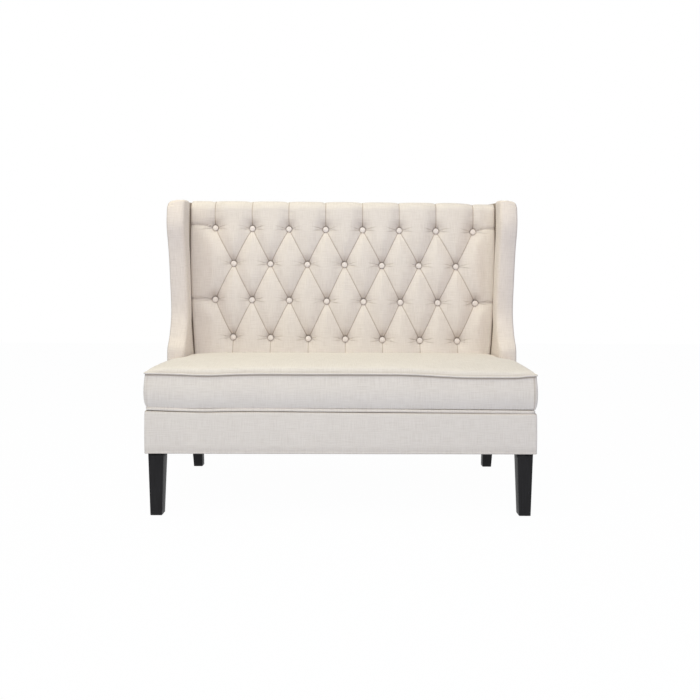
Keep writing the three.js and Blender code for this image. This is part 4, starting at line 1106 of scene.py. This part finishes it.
def seat_cover():
    """The crowned T-shaped seat with boxed sides, and the points at which it is sewn"""
    plan, cells = seat_plan()
    count = len(plan)
    x, depth = rounded_corner(*plan.T)
    top = seat_top_at(*plan.T)
    rear_edge = smooth_step(plan[:, 1], SEAT_DEPTH - 8 * MM, SEAT_DEPTH)
    top = mix(top, SEAT_SEAM + REAR_SEAM_RISE, rear_edge)
    rim = rim_of(cells)
    rim_x, rim_depth, rim_z = x[rim], depth[rim], top[rim]
    out_x = np.roll(rim_depth, -1) - np.roll(rim_depth, 1)
    out_depth = np.roll(rim_x, 1) - np.roll(rim_x, -1)
    run = np.hypot(out_x, out_depth)
    out_x, out_depth = out_x / run, out_depth / run
    free = (plan[rim, 1] < ARM_END - 4 * MM) | (np.abs(rim_x) > SEAM_HALF_WIDTH - 1 * MM)
    free &= plan[rim, 1] < ARM_END - 1 * MM
    points = [in_frame(x, depth, top)]
    faces = list(cells)
    shades = np.zeros(count)
    # Painted shade along the top seam
    shades[rim] = 0.2
    ahead = plan[rim, 1] < SEAM_FRONT + 1 * MM
    from_corner = SEAM_HALF_WIDTH - CORNER_SEAM_INSET - np.abs(plan[rim, 0])
    seam = np.where(rim_x > 0, 0.45, 0.15) * bell(from_corner, 1.6 * MM) * ahead
    previous = list(rim)
    start = count
    seam_height = np.minimum(rim_z, SEAT_SEAM + REAR_SEAM_RISE)
    for share in BOXING_SHARES:
        step = np.where(free, boxing_swell(share, np.abs(out_x)), 0)
        points.append(in_frame(rim_x + out_x * step, rim_depth + out_depth * step,
                               mix(SEAT_BOTTOM - groove_drop(rim_x), seam_height, share)))
        # Painted shade: a thin dark band just under the top welt
        painted_shade_under_welt = 0.55 * math.exp(-max(0, BOXING_SHARES[1] - share) / 0.012)
        shades = np.concatenate([shades, np.maximum(seam, painted_shade_under_welt)])
        ring = list(range(start, start + len(rim)))
        for n, a in enumerate(previous):
            b = previous[(n + 1) % len(rim)]
            faces.append((b, a, ring[n], ring[(n + 1) % len(rim)]))
        previous = ring
        start += len(rim)
    bottom = dict(zip(rim, previous))
    inner = [v for v in range(count) if v not in bottom]
    for offset, v in enumerate(inner):
        bottom[v] = start + offset
    points.append(in_frame(x[inner], depth[inner], SEAT_BOTTOM))
    faces += [tuple(bottom[v] for v in reversed(cell)) for cell in cells]
    piece = make_piece("seat_cover", np.vstack(points), faces)
    point_outwards(piece)
    sewn = {*rim, *bottom.values(), *np.flatnonzero(rear_edge > 0.05).tolist()}
    mark_painted_shade_and_wear(piece, np.concatenate([shades, np.zeros(len(inner))]))
    return piece, sorted(sewn)


class SETTEE_OT_seat(bpy.types.Operator):
    """Make the tight, crowned seat and let its stuffing fill it"""

    bl_idname = "settee.seat"
    bl_label = "Seat"

    def execute(self, context):
        seat, sewn = seat_cover()
        stuff(seat, sewn, context.scene.settee_sizes.cloth_cap)
        seat = smoother(seat)
        lay_weave(seat)
        dress(seat, linen_cloth(), ["seat_cushion"])
        return {"FINISHED"}


# Welts

def round_front_path(half, front, radius, steps):
    """Plan points from the left wing round the front of the seat to the right wing"""
    path = [(-half, ARM_END)]
    for side in (-1, 1):
        for i in range(steps + 1):
            share = (i if side < 0 else steps - i) / steps
            turn = share * math.pi / 2
            path.append((side * (half - radius * (1 - math.cos(turn))),
                         front + radius * (1 - math.sin(turn))))
    path.append((half, ARM_END))
    dense = [path[0]]
    for a, b in zip(path, path[1:]):
        count = max(1, round(math.dist(a, b) / (12 * MM)))
        dense += [(mix(a[0], b[0], n / count), mix(a[1], b[1], n / count))
                  for n in range(1, count + 1)]
    return dense


def welt_tree():
    """A round cord along a path, with the slight waver of a sewn seam"""
    tree = GeometryTree("settee_welt", Radius="Float", Waver="Float", Step="Float")
    spaced = tree.add("GeometryNodeResampleCurve", {
        "Curve": tree.given("Geometry"), "Length": tree.given("Step")}, mode="LENGTH")
    noise = tree.add("ShaderNodeTexNoise", {"Scale": 7.0, "Detail": 1.0})
    centred = tree.math("SUBTRACT", (noise, "Fac"), 0.5)
    offset = tree.add("ShaderNodeCombineXYZ", {
        "Z": tree.math("MULTIPLY", centred, tree.given("Waver"))})
    moved = tree.add("GeometryNodeSetPosition", {
        "Geometry": (spaced, "Curve"), "Offset": (offset, "Vector")})
    profile = tree.add("GeometryNodeCurvePrimitiveCircle", {
        "Resolution": 14, "Radius": tree.given("Radius")})
    swept = tree.add("GeometryNodeCurveToMesh", {
        "Curve": (moved, "Geometry"), "Profile Curve": (profile, "Curve"), "Fill Caps": True})
    return tree.end((swept, "Mesh"))


def path_curve(name, points):
    curve = bpy.data.curves.new(name, "CURVE")
    curve.dimensions = "3D"
    spline = curve.splines.new("POLY")
    spline.points.add(len(points) - 1)
    for place, target in zip(points, spline.points):
        target.co = (*place, 1.0)
    return new_object(name, curve)


def make_welt(name, tree, radius, half, front, corner, height, shade, waver):
    plan = round_front_path(half, front, corner, 8)
    points = [(x, from_front(depth), height(x, depth)) for x, depth in plan]
    welt = run_tree(path_curve(name, points), tree, Radius=radius, Waver=waver, Step=3 * MM,
                    Material=linen_cloth())
    welt.data.polygons.foreach_set("use_smooth", [True] * len(welt.data.polygons))
    point_outwards(welt)
    place = read(welt.data.vertices, "co", 3)
    outward = np.maximum(np.abs(place[:, 0]) - half, from_front(front) - place[:, 1]) / radius
    # Painted shade on the inner half of the welt, where it meets the cover
    mark_painted_shade_and_wear(welt, shade * smooth_step(-outward, -0.15, 0.45))
    lay_weave(welt)
    return welt


class SETTEE_OT_welts(bpy.types.Operator):
    """Lay the covered cords along the seat's top seam and between seat and base"""

    bl_idname = "settee.welts"
    bl_label = "Welts"

    def execute(self, context):
        sizes = context.scene.settee_sizes
        tree = welt_tree()
        top, low = sizes.top_welt_radius, sizes.lower_welt_radius
        upper = make_welt("top_welt", tree, top, HALF_WIDTH + 1 * MM - top, top, 4 * MM,
                          lambda x, depth: SEAT_SEAM - seam_sag(x, depth), 0.2, 1.2 * MM)
        dress(upper, linen_cloth(), ["seat_top_welt"])
        inset = 3 * MM
        lower = make_welt("lower_welt", tree, low, BODY_HALF_WIDTH - inset - low,
                          BODY_FRONT + inset + low, 5 * MM,
                          lambda x, depth: LOWER_WELT - groove_drop(x), 0.6, 1.6 * MM)
        dress(lower, linen_cloth(), ["seat_lower_welt"])
        return {"FINISHED"}


# Base cover

def base_cover():
    """A fabric band round the front of the rails, hemmed and turned under them"""
    skin = 3 * MM
    top = LOWER_WELT - bpy.context.scene.settee_sizes.lower_welt_radius - FIT_GAP
    bottom = LEG_HEIGHT + 0.1 * MM
    hem = bottom + 5.5 * MM
    flap = RAIL_TOP + FIT_GAP
    flap_top = flap + 1.3 * MM
    # The shade column is painted shade on the flap, in the groove under the lower welt and along
    # the bottom edge where the band turns under, and a faint line along the stitched hem
    section = (  # millimetres outwards, height and shade of each point, from the flap outwards
        (-16, flap, 0.5), (-16, flap_top, 0.5), (-7, flap_top, 0.5), (-3, top, 0.5),
        (-1.5, top - 0.2 * MM, 0.3), (-0.6, top - 1.4 * MM, 0.1), (-0.1, top - 4 * MM, 0),
        (0.4, top - 12 * MM, 0), (0.8, mix(hem, top, 0.5), 0), (0.5, hem + 22 * MM, 0),
        (0.1, hem + 3 * MM, 0.1), (-0.3, hem + 0.8 * MM, 0.12), (-0.3, hem - 0.4 * MM, 0.12),
        (0, hem - 1.6 * MM, 0), (0, bottom, 0.15), (-0.8, bottom - 1.6 * MM, 0.4),
        (-2.2, bottom - 1.6 * MM, 0.4), (-4, bottom, 0), (-22, bottom, 0),
        (-22, bottom + skin, 0), (-3, bottom + skin, 0), (-3, flap, 0),
    )
    path = np.array(round_front_path(BODY_HALF_WIDTH, BODY_FRONT, 7 * MM, 6))
    along = np.gradient(path, axis=0)
    along /= np.linalg.norm(along, axis=1, keepdims=True)
    points = []
    for (x, depth), (across, back) in zip(path, along):
        waver = 0.5 * MM * math.sin(14 * x + 9 * depth)
        for offset, z, _ in section:
            push = offset * MM + (waver if abs(offset) < 1 else 0)
            hang = 0 if z in (flap, flap_top) else (z - bottom) / (top - bottom)
            points.append((x + back * push, depth - across * push, z - hang * groove_drop(x)))
    return cloth_piece("base_cover_cloth", in_frame(*np.transpose(points)),
                       ring_faces(len(path), len(section)),
                       [shade for _, _, shade in section] * len(path))


class SETTEE_OT_base_cover(bpy.types.Operator):
    """Make the hemmed fabric band round the seat rails"""

    bl_idname = "settee.base_cover"
    bl_label = "Base cover"

    def execute(self, context):
        dress(base_cover(), linen_cloth(), ["base_cover"])
        return {"FINISHED"}


# Wings

def wing_edge():
    """(depth, height) points on the curved front edge, from its foot to its top"""
    knots = np.column_stack([
        WING_FORWARD + np.array(EDGE_SWEEP_SHARES) * WING_SWEEP,
        mix(WING_FOOT, WING_TOP, np.array(EDGE_HEIGHT_SHARES)),
    ])
    last = len(knots) - 1
    points = []
    for t in np.linspace(0, last, EDGE_POINTS):
        i = min(int(t), last - 1)
        s = t - i
        p0, p1, p2, p3 = knots[max(i - 1, 0)], knots[i], knots[i + 1], knots[min(i + 2, last)]
        v0, v1 = (p2 - p0) / 2, (p3 - p1) / 2
        points.append((2 * p1 - 2 * p2 + v0 + v1) * s ** 3
                      + (-3 * p1 + 3 * p2 - 2 * v0 - v1) * s ** 2 + v0 * s + p1)
    return np.array(points)


def wing_shear_at(z, depth):
    """How far a wing's level line has risen towards the back"""
    share = np.clip((z - WING_FOOT) / (WING_TOP - WING_FOOT), 0, 1)
    return WING_TOP_RISE * share * (depth - WING_FORWARD) / (OVERALL_DEPTH - WING_FORWARD)


def wing_section(z, edge_depth):
    """One level section of the right wing: (x, depth, rounding, side, gather) per point"""
    face = mix(WING_FACE_FOOT, WING_FACE_TOP, wing_height_share(z))
    inner = HALF_WIDTH - face
    rear = rear_depth_at(z) - BACK_PANEL_THICKNESS - FIT_GAP
    above_panel = z + wing_shear_at(z, rear) - FRAME_TOP
    rear += BACK_PANEL_THICKNESS * smooth_step(above_panel, 0.5 * MM, 2 * MM)
    thin = crevice_at(z + wing_shear_at(z, rear))
    crevice = HALF_WIDTH - thin
    crevice_depth = button_depth_at(z) - CREVICE_LEAD
    post_back = edge_depth + WING_POST_RUN
    radius, soft_edge = WING_EDGE_RADIUS, WING_INNER_RADIUS
    outer_round, inner_round = OUTER_ROUND_SHARE * face, INNER_ROUND_SHARE * face
    points = []
    for share in np.linspace(0, 1, 9)[:-1]:
        points.append((HALF_WIDTH, mix(rear, edge_depth + radius, share),
                       OUTER_ROUND_SHARE * mix(thin, face, share), 1, 0))
    points.append((HALF_WIDTH, edge_depth + radius + 5 * MM, outer_round, 1, 0))
    for turn in np.linspace(0, math.pi / 2, 8):
        points.append((HALF_WIDTH - radius * (1 - math.cos(turn)),
                       edge_depth + radius * (1 - math.sin(turn)), outer_round, 1, 0))
    for share in np.linspace(0, 1, 7)[1:-1]:
        belly = WING_BELLY * 4 * share * (1 - share)
        points.append((mix(HALF_WIDTH - radius, inner + soft_edge, share), edge_depth - belly,
                       mix(outer_round, inner_round, share), 1 - 2 * share, 0))
    for turn in np.linspace(math.pi / 2, 0, 8):
        points.append((inner + soft_edge * (1 - math.cos(turn)),
                       edge_depth + soft_edge * (1 - math.sin(turn)), inner_round, -1, 0))
    for share in np.linspace(0, 1, 6)[1:]:
        points.append((inner, mix(edge_depth + soft_edge, post_back, share), inner_round, -1, 0))
    for share in np.linspace(0, 1, 19)[1:]:
        points.append((mix(inner, crevice, smooth_step(share, 0, 1)),
                       mix(post_back, crevice_depth, share),
                       INNER_ROUND_SHARE * mix(face, thin, share), -1,
                       max(0.0, (share - GATHER_START) / (1 - GATHER_START))))
    for lead in (10, 22, 40):
        points.append((crevice, crevice_depth + lead * MM, INNER_ROUND_SHARE * thin, -1, 1))
    points.append((crevice, rear, INNER_ROUND_SHARE * thin, -1, 0))
    return points


def wing_rings():
    """The right wing's level sections from the floor line up, and the shade of each point"""
    edge = wing_edge()
    plate = RAIL_OUTER + FIT_GAP
    rings, shades = [], []

    def add_ring(z, edge_depth, drop=0, draw=0, slim=False):
        ring = []
        for x, depth, rounding, side, gather in wing_section(z, edge_depth):
            pucker = 0.7 * MM * gather * math.sin(math.tau * z / (7 * MM)) if z > SEAT_LINE else 0
            ahead = rounding * draw if depth < edge_depth + WING_INNER_RADIUS else 0
            px = x - side * rounding * draw - pucker
            ring.append((max(px, plate) if slim else px, depth + ahead,
                         z + wing_shear_at(z, depth) - rounding * drop))
            # Painted shade: a dark line on the outer front edge, where the side turns away from
            # the light, and in the crevice against the tufts
            behind = (depth - edge_depth) / WING_EDGE_RADIUS
            rim = side == 1 and behind < 1 + 1 * MM / WING_EDGE_RADIUS
            shade = RIM_SHADE * smooth_step(behind, 0.05, 0.5) if rim else 0
            if z > SEAT_LINE - 20 * MM:
                shade = max(shade, CREVICE_SHADE * gather ** 7)
            shades.append(shade)
        rings.append(ring)

    floor_line = LEG_HEIGHT + 0.1 * MM
    for z in (floor_line, floor_line + 1 * MM, mix(floor_line, RAIL_TOP, 0.5), RAIL_TOP):
        add_ring(z, WING_FOOT_DEPTH, slim=True)
    for z in (RAIL_TOP + FIT_GAP, 400 * MM, *np.linspace(SEAT_LINE, WING_FOOT, 8)[:-1]):
        add_ring(z, WING_FOOT_DEPTH)
    for z in np.arange(WING_FOOT, WING_TOP - OUTER_ROUND_SHARE * WING_FACE_TOP, 1.75 * MM):
        add_ring(z, float(np.interp(z, edge[:, 1], edge[:, 0])))
    for turn in np.linspace(0, math.pi / 2, 11):
        add_ring(WING_TOP, float(edge[-1, 0]), 1 - math.sin(turn), 1 - math.cos(turn))
    return np.array(rings), shades


def wing_cover(side_name, sign):
    rings, shades = wing_rings()
    x, depth, z = rings.reshape(-1, 3).T
    return cloth_piece(f"wing_cover_cloth_{side_name}", in_frame(sign * x, depth, z),
                       ring_faces(*rings.shape[:2]), shades)


class SETTEE_OT_wings(bpy.types.Operator):
    """Make the padded covers of the two curved wings"""

    bl_idname = "settee.wings"
    bl_label = "Wings"

    def execute(self, context):
        for side_name, sign in SIDES:
            dress(wing_cover(side_name, sign), linen_cloth("wing_linen"),
                  [f"wing_cover_{side_name}"])
        return {"FINISHED"}


# Outside back

def outside_back():
    """A lightly padded panel with rolled edges over the posts and rails"""
    half = HALF_WIDTH - BACK_PANEL_INSET
    low, high = LEG_HEIGHT + FIT_GAP, FRAME_TOP

    def spread(start, end):
        steps = graded(0, (end - start) / 2, 1 * MM, 26 * MM)
        return np.concatenate([start + steps[:-1], (end - steps)[::-1]])

    x, z = np.meshgrid(spread(-half, half), spread(low, high))
    edge = np.minimum(half - np.abs(x), np.minimum(z - low, high - z))
    centre = rear_depth_at(z) - BACK_PANEL_THICKNESS / 2
    thick = BACK_PANEL_THICKNESS / 2 * np.sqrt(np.clip(edge / (3 * MM), 0, 1))
    padding = 2.5 * MM * soft(edge, 70 * MM) - 0.8 * MM * bell(edge - SEAM_INSET, 2.5 * MM)
    points = np.vstack([in_frame(x, centre + thick + padding, z), in_frame(x, centre - thick, z)])
    shades = np.concatenate([0.5 * bell(edge - SEAM_INSET, 2 * MM).ravel(), np.zeros(x.size)])

    # The two layers share the points of the border
    front = np.arange(x.size).reshape(x.shape)
    behind = front + x.size
    for line in (np.s_[0], np.s_[-1], np.s_[:, 0], np.s_[:, -1]):
        behind[line] = front[line]
    behind = behind.ravel().tolist()
    faces = [side for cell in grid_faces(*x.shape)
             for side in (cell, tuple(behind[v] for v in reversed(cell)))]
    used = sorted({v for face in faces for v in face})
    place = {v: n for n, v in enumerate(used)}
    return cloth_piece("outside_back_cloth", points[used],
                       [tuple(place[v] for v in face) for face in faces], shades[used])


class SETTEE_OT_outside_back(bpy.types.Operator):
    """Make the panel that closes the back"""

    bl_idname = "settee.outside_back"
    bl_label = "Outside back"

    def execute(self, context):
        dress(outside_back(), linen_cloth(), ["outside_back_panel"])
        return {"FINISHED"}


# Dust cover

def dust_cover():
    """Thin cloth under the rails, slack between its staples"""
    low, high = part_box("dust_cover")
    x, y = np.meshgrid(np.linspace(low.x, high.x, 90), np.linspace(low.y, high.y, 44))
    edge_x = np.minimum(x - low.x, high.x - x)
    edge_y = np.minimum(y - low.y, high.y - y)
    slack = soft(np.minimum(edge_x, edge_y), 60 * MM)
    ripple = 0.5 * MM * np.sin(x * 60) * np.exp(-edge_y / (40 * MM))
    z = low.z + 0.4 * MM + (0.8 * MM + ripple) * slack
    piece = make_piece("underside_cloth", np.stack([x, y, z], axis=-1).reshape(-1, 3),
                       grid_faces(*x.shape))
    thick = piece.modifiers.new("Cloth thickness", "SOLIDIFY")
    thick.thickness = 0.4 * MM
    thick.offset = 0
    return baked(piece), (high.x - low.x, high.y - low.y)


class SETTEE_OT_underside(bpy.types.Operator):
    """Stretch the dust cover under the seat"""

    bl_idname = "settee.underside"
    bl_label = "Underside"

    def execute(self, context):
        cloth, flat = dust_cover()
        material = coarse_cloth_finish("black_underlining", (0.022, 0.022, 0.026),
                                       (0.008, 0.008, 0.01), 1.4 * MM)
        dress(cloth, material, ["dust_cover"])
        return {"FINISHED"}


# Legs

def leg_ring(x0, x1, depth0, depth1, z):
    """A square with rounded corners, and a mark on the middle of each corner"""
    ring = []
    x0, x1, depth0, depth1 = (x0 + LEG_CORNER, x1 - LEG_CORNER, depth0 + LEG_CORNER,
                              depth1 - LEG_CORNER)
    for cx, cd, start in ((x1, depth1, 0), (x0, depth1, 90), (x0, depth0, 180), (x1, depth0, 270)):
        for k in range(LEG_CORNER_STEPS + 1):
            turn = math.radians(start + 90 * k / LEG_CORNER_STEPS)
            mark = 1 - abs(2 * k / LEG_CORNER_STEPS - 1)
            ring.append((cx + LEG_CORNER * math.cos(turn), cd + LEG_CORNER * math.sin(turn),
                         z, mark))
    return ring


def leg_piece(name, sign, foot, top):
    """A tapered square leg between its foot and its top, each (outer, depth, size)"""
    ease = 1.2 * MM
    high = LEG_HEIGHT - FIT_GAP
    rings = []
    for z, shrink in ((0, ease), (ease, 0), *[(mix(ease, high, n / 10), 0) for n in range(1, 11)]):
        share = z / high
        outer, depth, size = (mix(a, b, share) for a, b in zip(foot, top))
        rings.append(leg_ring(outer - size + shrink, outer - shrink, depth + shrink,
                              depth + size - shrink, z))
    rings = np.array(rings)
    x, depth, z, corner = rings.reshape(-1, 4).T
    piece = make_piece(name, in_frame(sign * x, depth, z), ring_faces(*rings.shape[:2]))
    mark_painted_shade_and_wear(piece, corner + 0.6 * np.exp(-z / (5 * MM)))
    return point_outwards(piece)


class SETTEE_OT_legs(bpy.types.Operator):
    """Make the four tapered legs"""

    bl_idname = "settee.legs"
    bl_label = "Legs"

    def execute(self, context):
        material = leg_finish()
        for place, (foot, top) in LEG_SHAPES.items():
            for side_name, sign in SIDES:
                leg = leg_piece(f"{place}_leg_{side_name}", sign, foot, top)
                dress(leg, material, [f"leg_{place}_{side_name}"])
        return {"FINISHED"}


class SETTEE_OT_inner_frame(bpy.types.Operator):
    """Finish the timber, springs and cloths inside the settee"""

    bl_idname = "settee.inner_frame"
    bl_label = "Inner frame"

    def execute(self, context):
        finishes = dict.fromkeys(TIMBER_NODES, timber_finish())
        finishes["seat_spring_unit"] = spring_finish()
        finishes["seat_deck"] = coarse_cloth_finish(
            "deck_burlap", (0.46, 0.32, 0.15), (0.25, 0.16, 0.07), 2.4 * MM)
        finishes["back_webbing"] = coarse_cloth_finish(
            "jute_webbing", (0.40, 0.27, 0.12), (0.20, 0.12, 0.05), 1.8 * MM)
        for name, material in finishes.items():
            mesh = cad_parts[name].data
            mesh.materials.clear()
            mesh.materials.append(material)
        return {"FINISHED"}


# Stage

def stage_shader(owner, output, surface, looks, plain, brightness):
    """A surface that lights the settee, but plain white for camera and gloss rays"""
    owner.use_nodes = True
    nodes = Nodes(owner.node_tree)
    path = nodes.add("ShaderNodeLightPath")
    seen = nodes.math("MAXIMUM", (path, "Is Camera Ray"), (path, "Is Glossy Ray"))
    seen = nodes.math("MAXIMUM", seen, (path, "Is Transmission Ray"))
    blend = nodes.add("ShaderNodeMixShader", {
        "Fac": nodes.math("MULTIPLY", seen, brightness), 1: (nodes.add(surface, looks), 0),
        2: (nodes.add(plain, {"Color": (1, 1, 1, 1), "Strength": 1.0}), 0)})
    nodes.add(output, {"Surface": (blend, 0)})


class SETTEE_OT_stage(bpy.types.Operator):
    """Set the pale floor, the soft lamps and the camera"""

    bl_idname = "settee.stage"
    bl_label = "Stage"

    def execute(self, context):
        scene = context.scene
        stage = scene.settee_stage
        half = stage.floor_size / 2
        floor = make_piece("pale_floor", [(-half, -half, 0), (half, -half, 0), (half, half, 0),
                                          (-half, half, 0)], [(0, 1, 2, 3)])
        paint = bpy.data.materials.new("pale_floor")
        stage_shader(paint, "ShaderNodeOutputMaterial", "ShaderNodeBsdfDiffuse",
                     {"Color": (0.80, 0.84, 0.96, 1)}, "ShaderNodeEmission", FLOOR_WHITE)
        floor.data.materials.append(paint)
        scene.world = bpy.data.worlds.new("soft_room")
        stage_shader(scene.world, "ShaderNodeOutputWorld", "ShaderNodeBackground",
                     {"Color": (0.93, 0.95, 1.0, 1), "Strength": 0.47},
                     "ShaderNodeBackground", ROOM_WHITE)
        for lamp in LAMPS:
            self.add_lamp(*lamp)
        self.add_camera(scene, stage)
        scene.view_settings.view_transform = "Standard"
        return {"FINISHED"}

    def add_lamp(self, name, place, target, size, energy, colour):
        lamp = bpy.data.lights.new(name, "AREA")
        lamp.shape = "SQUARE"
        lamp.size = size
        lamp.energy = energy
        lamp.color = colour
        holder = new_object(name, lamp)
        holder.location = place
        aim = Vector(target) - Vector(place)
        holder.rotation_euler = aim.to_track_quat("-Z", "Y").to_euler()

    def add_camera(self, scene, stage):
        lens = bpy.data.cameras.new("photo_camera")
        lens.lens = stage.lens
        lens.sensor_width = 36
        lens.shift_x, lens.shift_y = CAMERA_SHIFT
        camera = new_object("photo_camera", lens)
        place = (stage.camera_side, from_front(0) - stage.camera_distance, stage.camera_height)
        camera.matrix_world = (Matrix.Translation(place) @ Matrix.Rotation(math.pi / 2, 4, "X")
                               @ Matrix.Rotation(stage.roll, 4, "Z"))
        scene.camera = camera


STEPS = (
    SETTEE_OT_stage, SETTEE_OT_tufted_back, SETTEE_OT_buttons, SETTEE_OT_seat, SETTEE_OT_welts,
    SETTEE_OT_base_cover, SETTEE_OT_wings, SETTEE_OT_outside_back, SETTEE_OT_underside,
    SETTEE_OT_legs, SETTEE_OT_inner_frame,
)


class SETTEE_PT_panel(bpy.types.Panel):
    """Lists the steps that make the settee"""

    bl_label = "Settee"
    bl_idname = "SETTEE_PT_panel"
    bl_space_type = "VIEW_3D"
    bl_region_type = "UI"
    bl_category = "Settee"

    def draw(self, context):
        for group in (getattr(context.scene, name) for name in GROUPS):
            box = self.layout.box()
            for name in group.bl_rna.properties.keys():
                if name not in ("rna_type", "name"):
                    box.prop(group, name)
        for step in STEPS:
            self.layout.operator(step.bl_idname)


GROUPS = {"settee_sizes": SetteeSizes, "settee_colours": SetteeColours,
          "settee_stage": SetteeStage}
CLASSES = (*GROUPS.values(), *STEPS, SETTEE_PT_panel)


def register():
    for item in CLASSES:
        bpy.utils.register_class(item)
    for name, group in GROUPS.items():
        setattr(bpy.types.Scene, name, bpy.props.PointerProperty(type=group))


def unregister():
    for name in reversed(GROUPS):
        delattr(bpy.types.Scene, name)
    for item in reversed(CLASSES):
        bpy.utils.unregister_class(item)


def main():
    register()
    for step in STEPS:
        category, action = step.bl_idname.split(".")
        getattr(getattr(bpy.ops, category), action)()


if __name__ == "__main__":
    main()
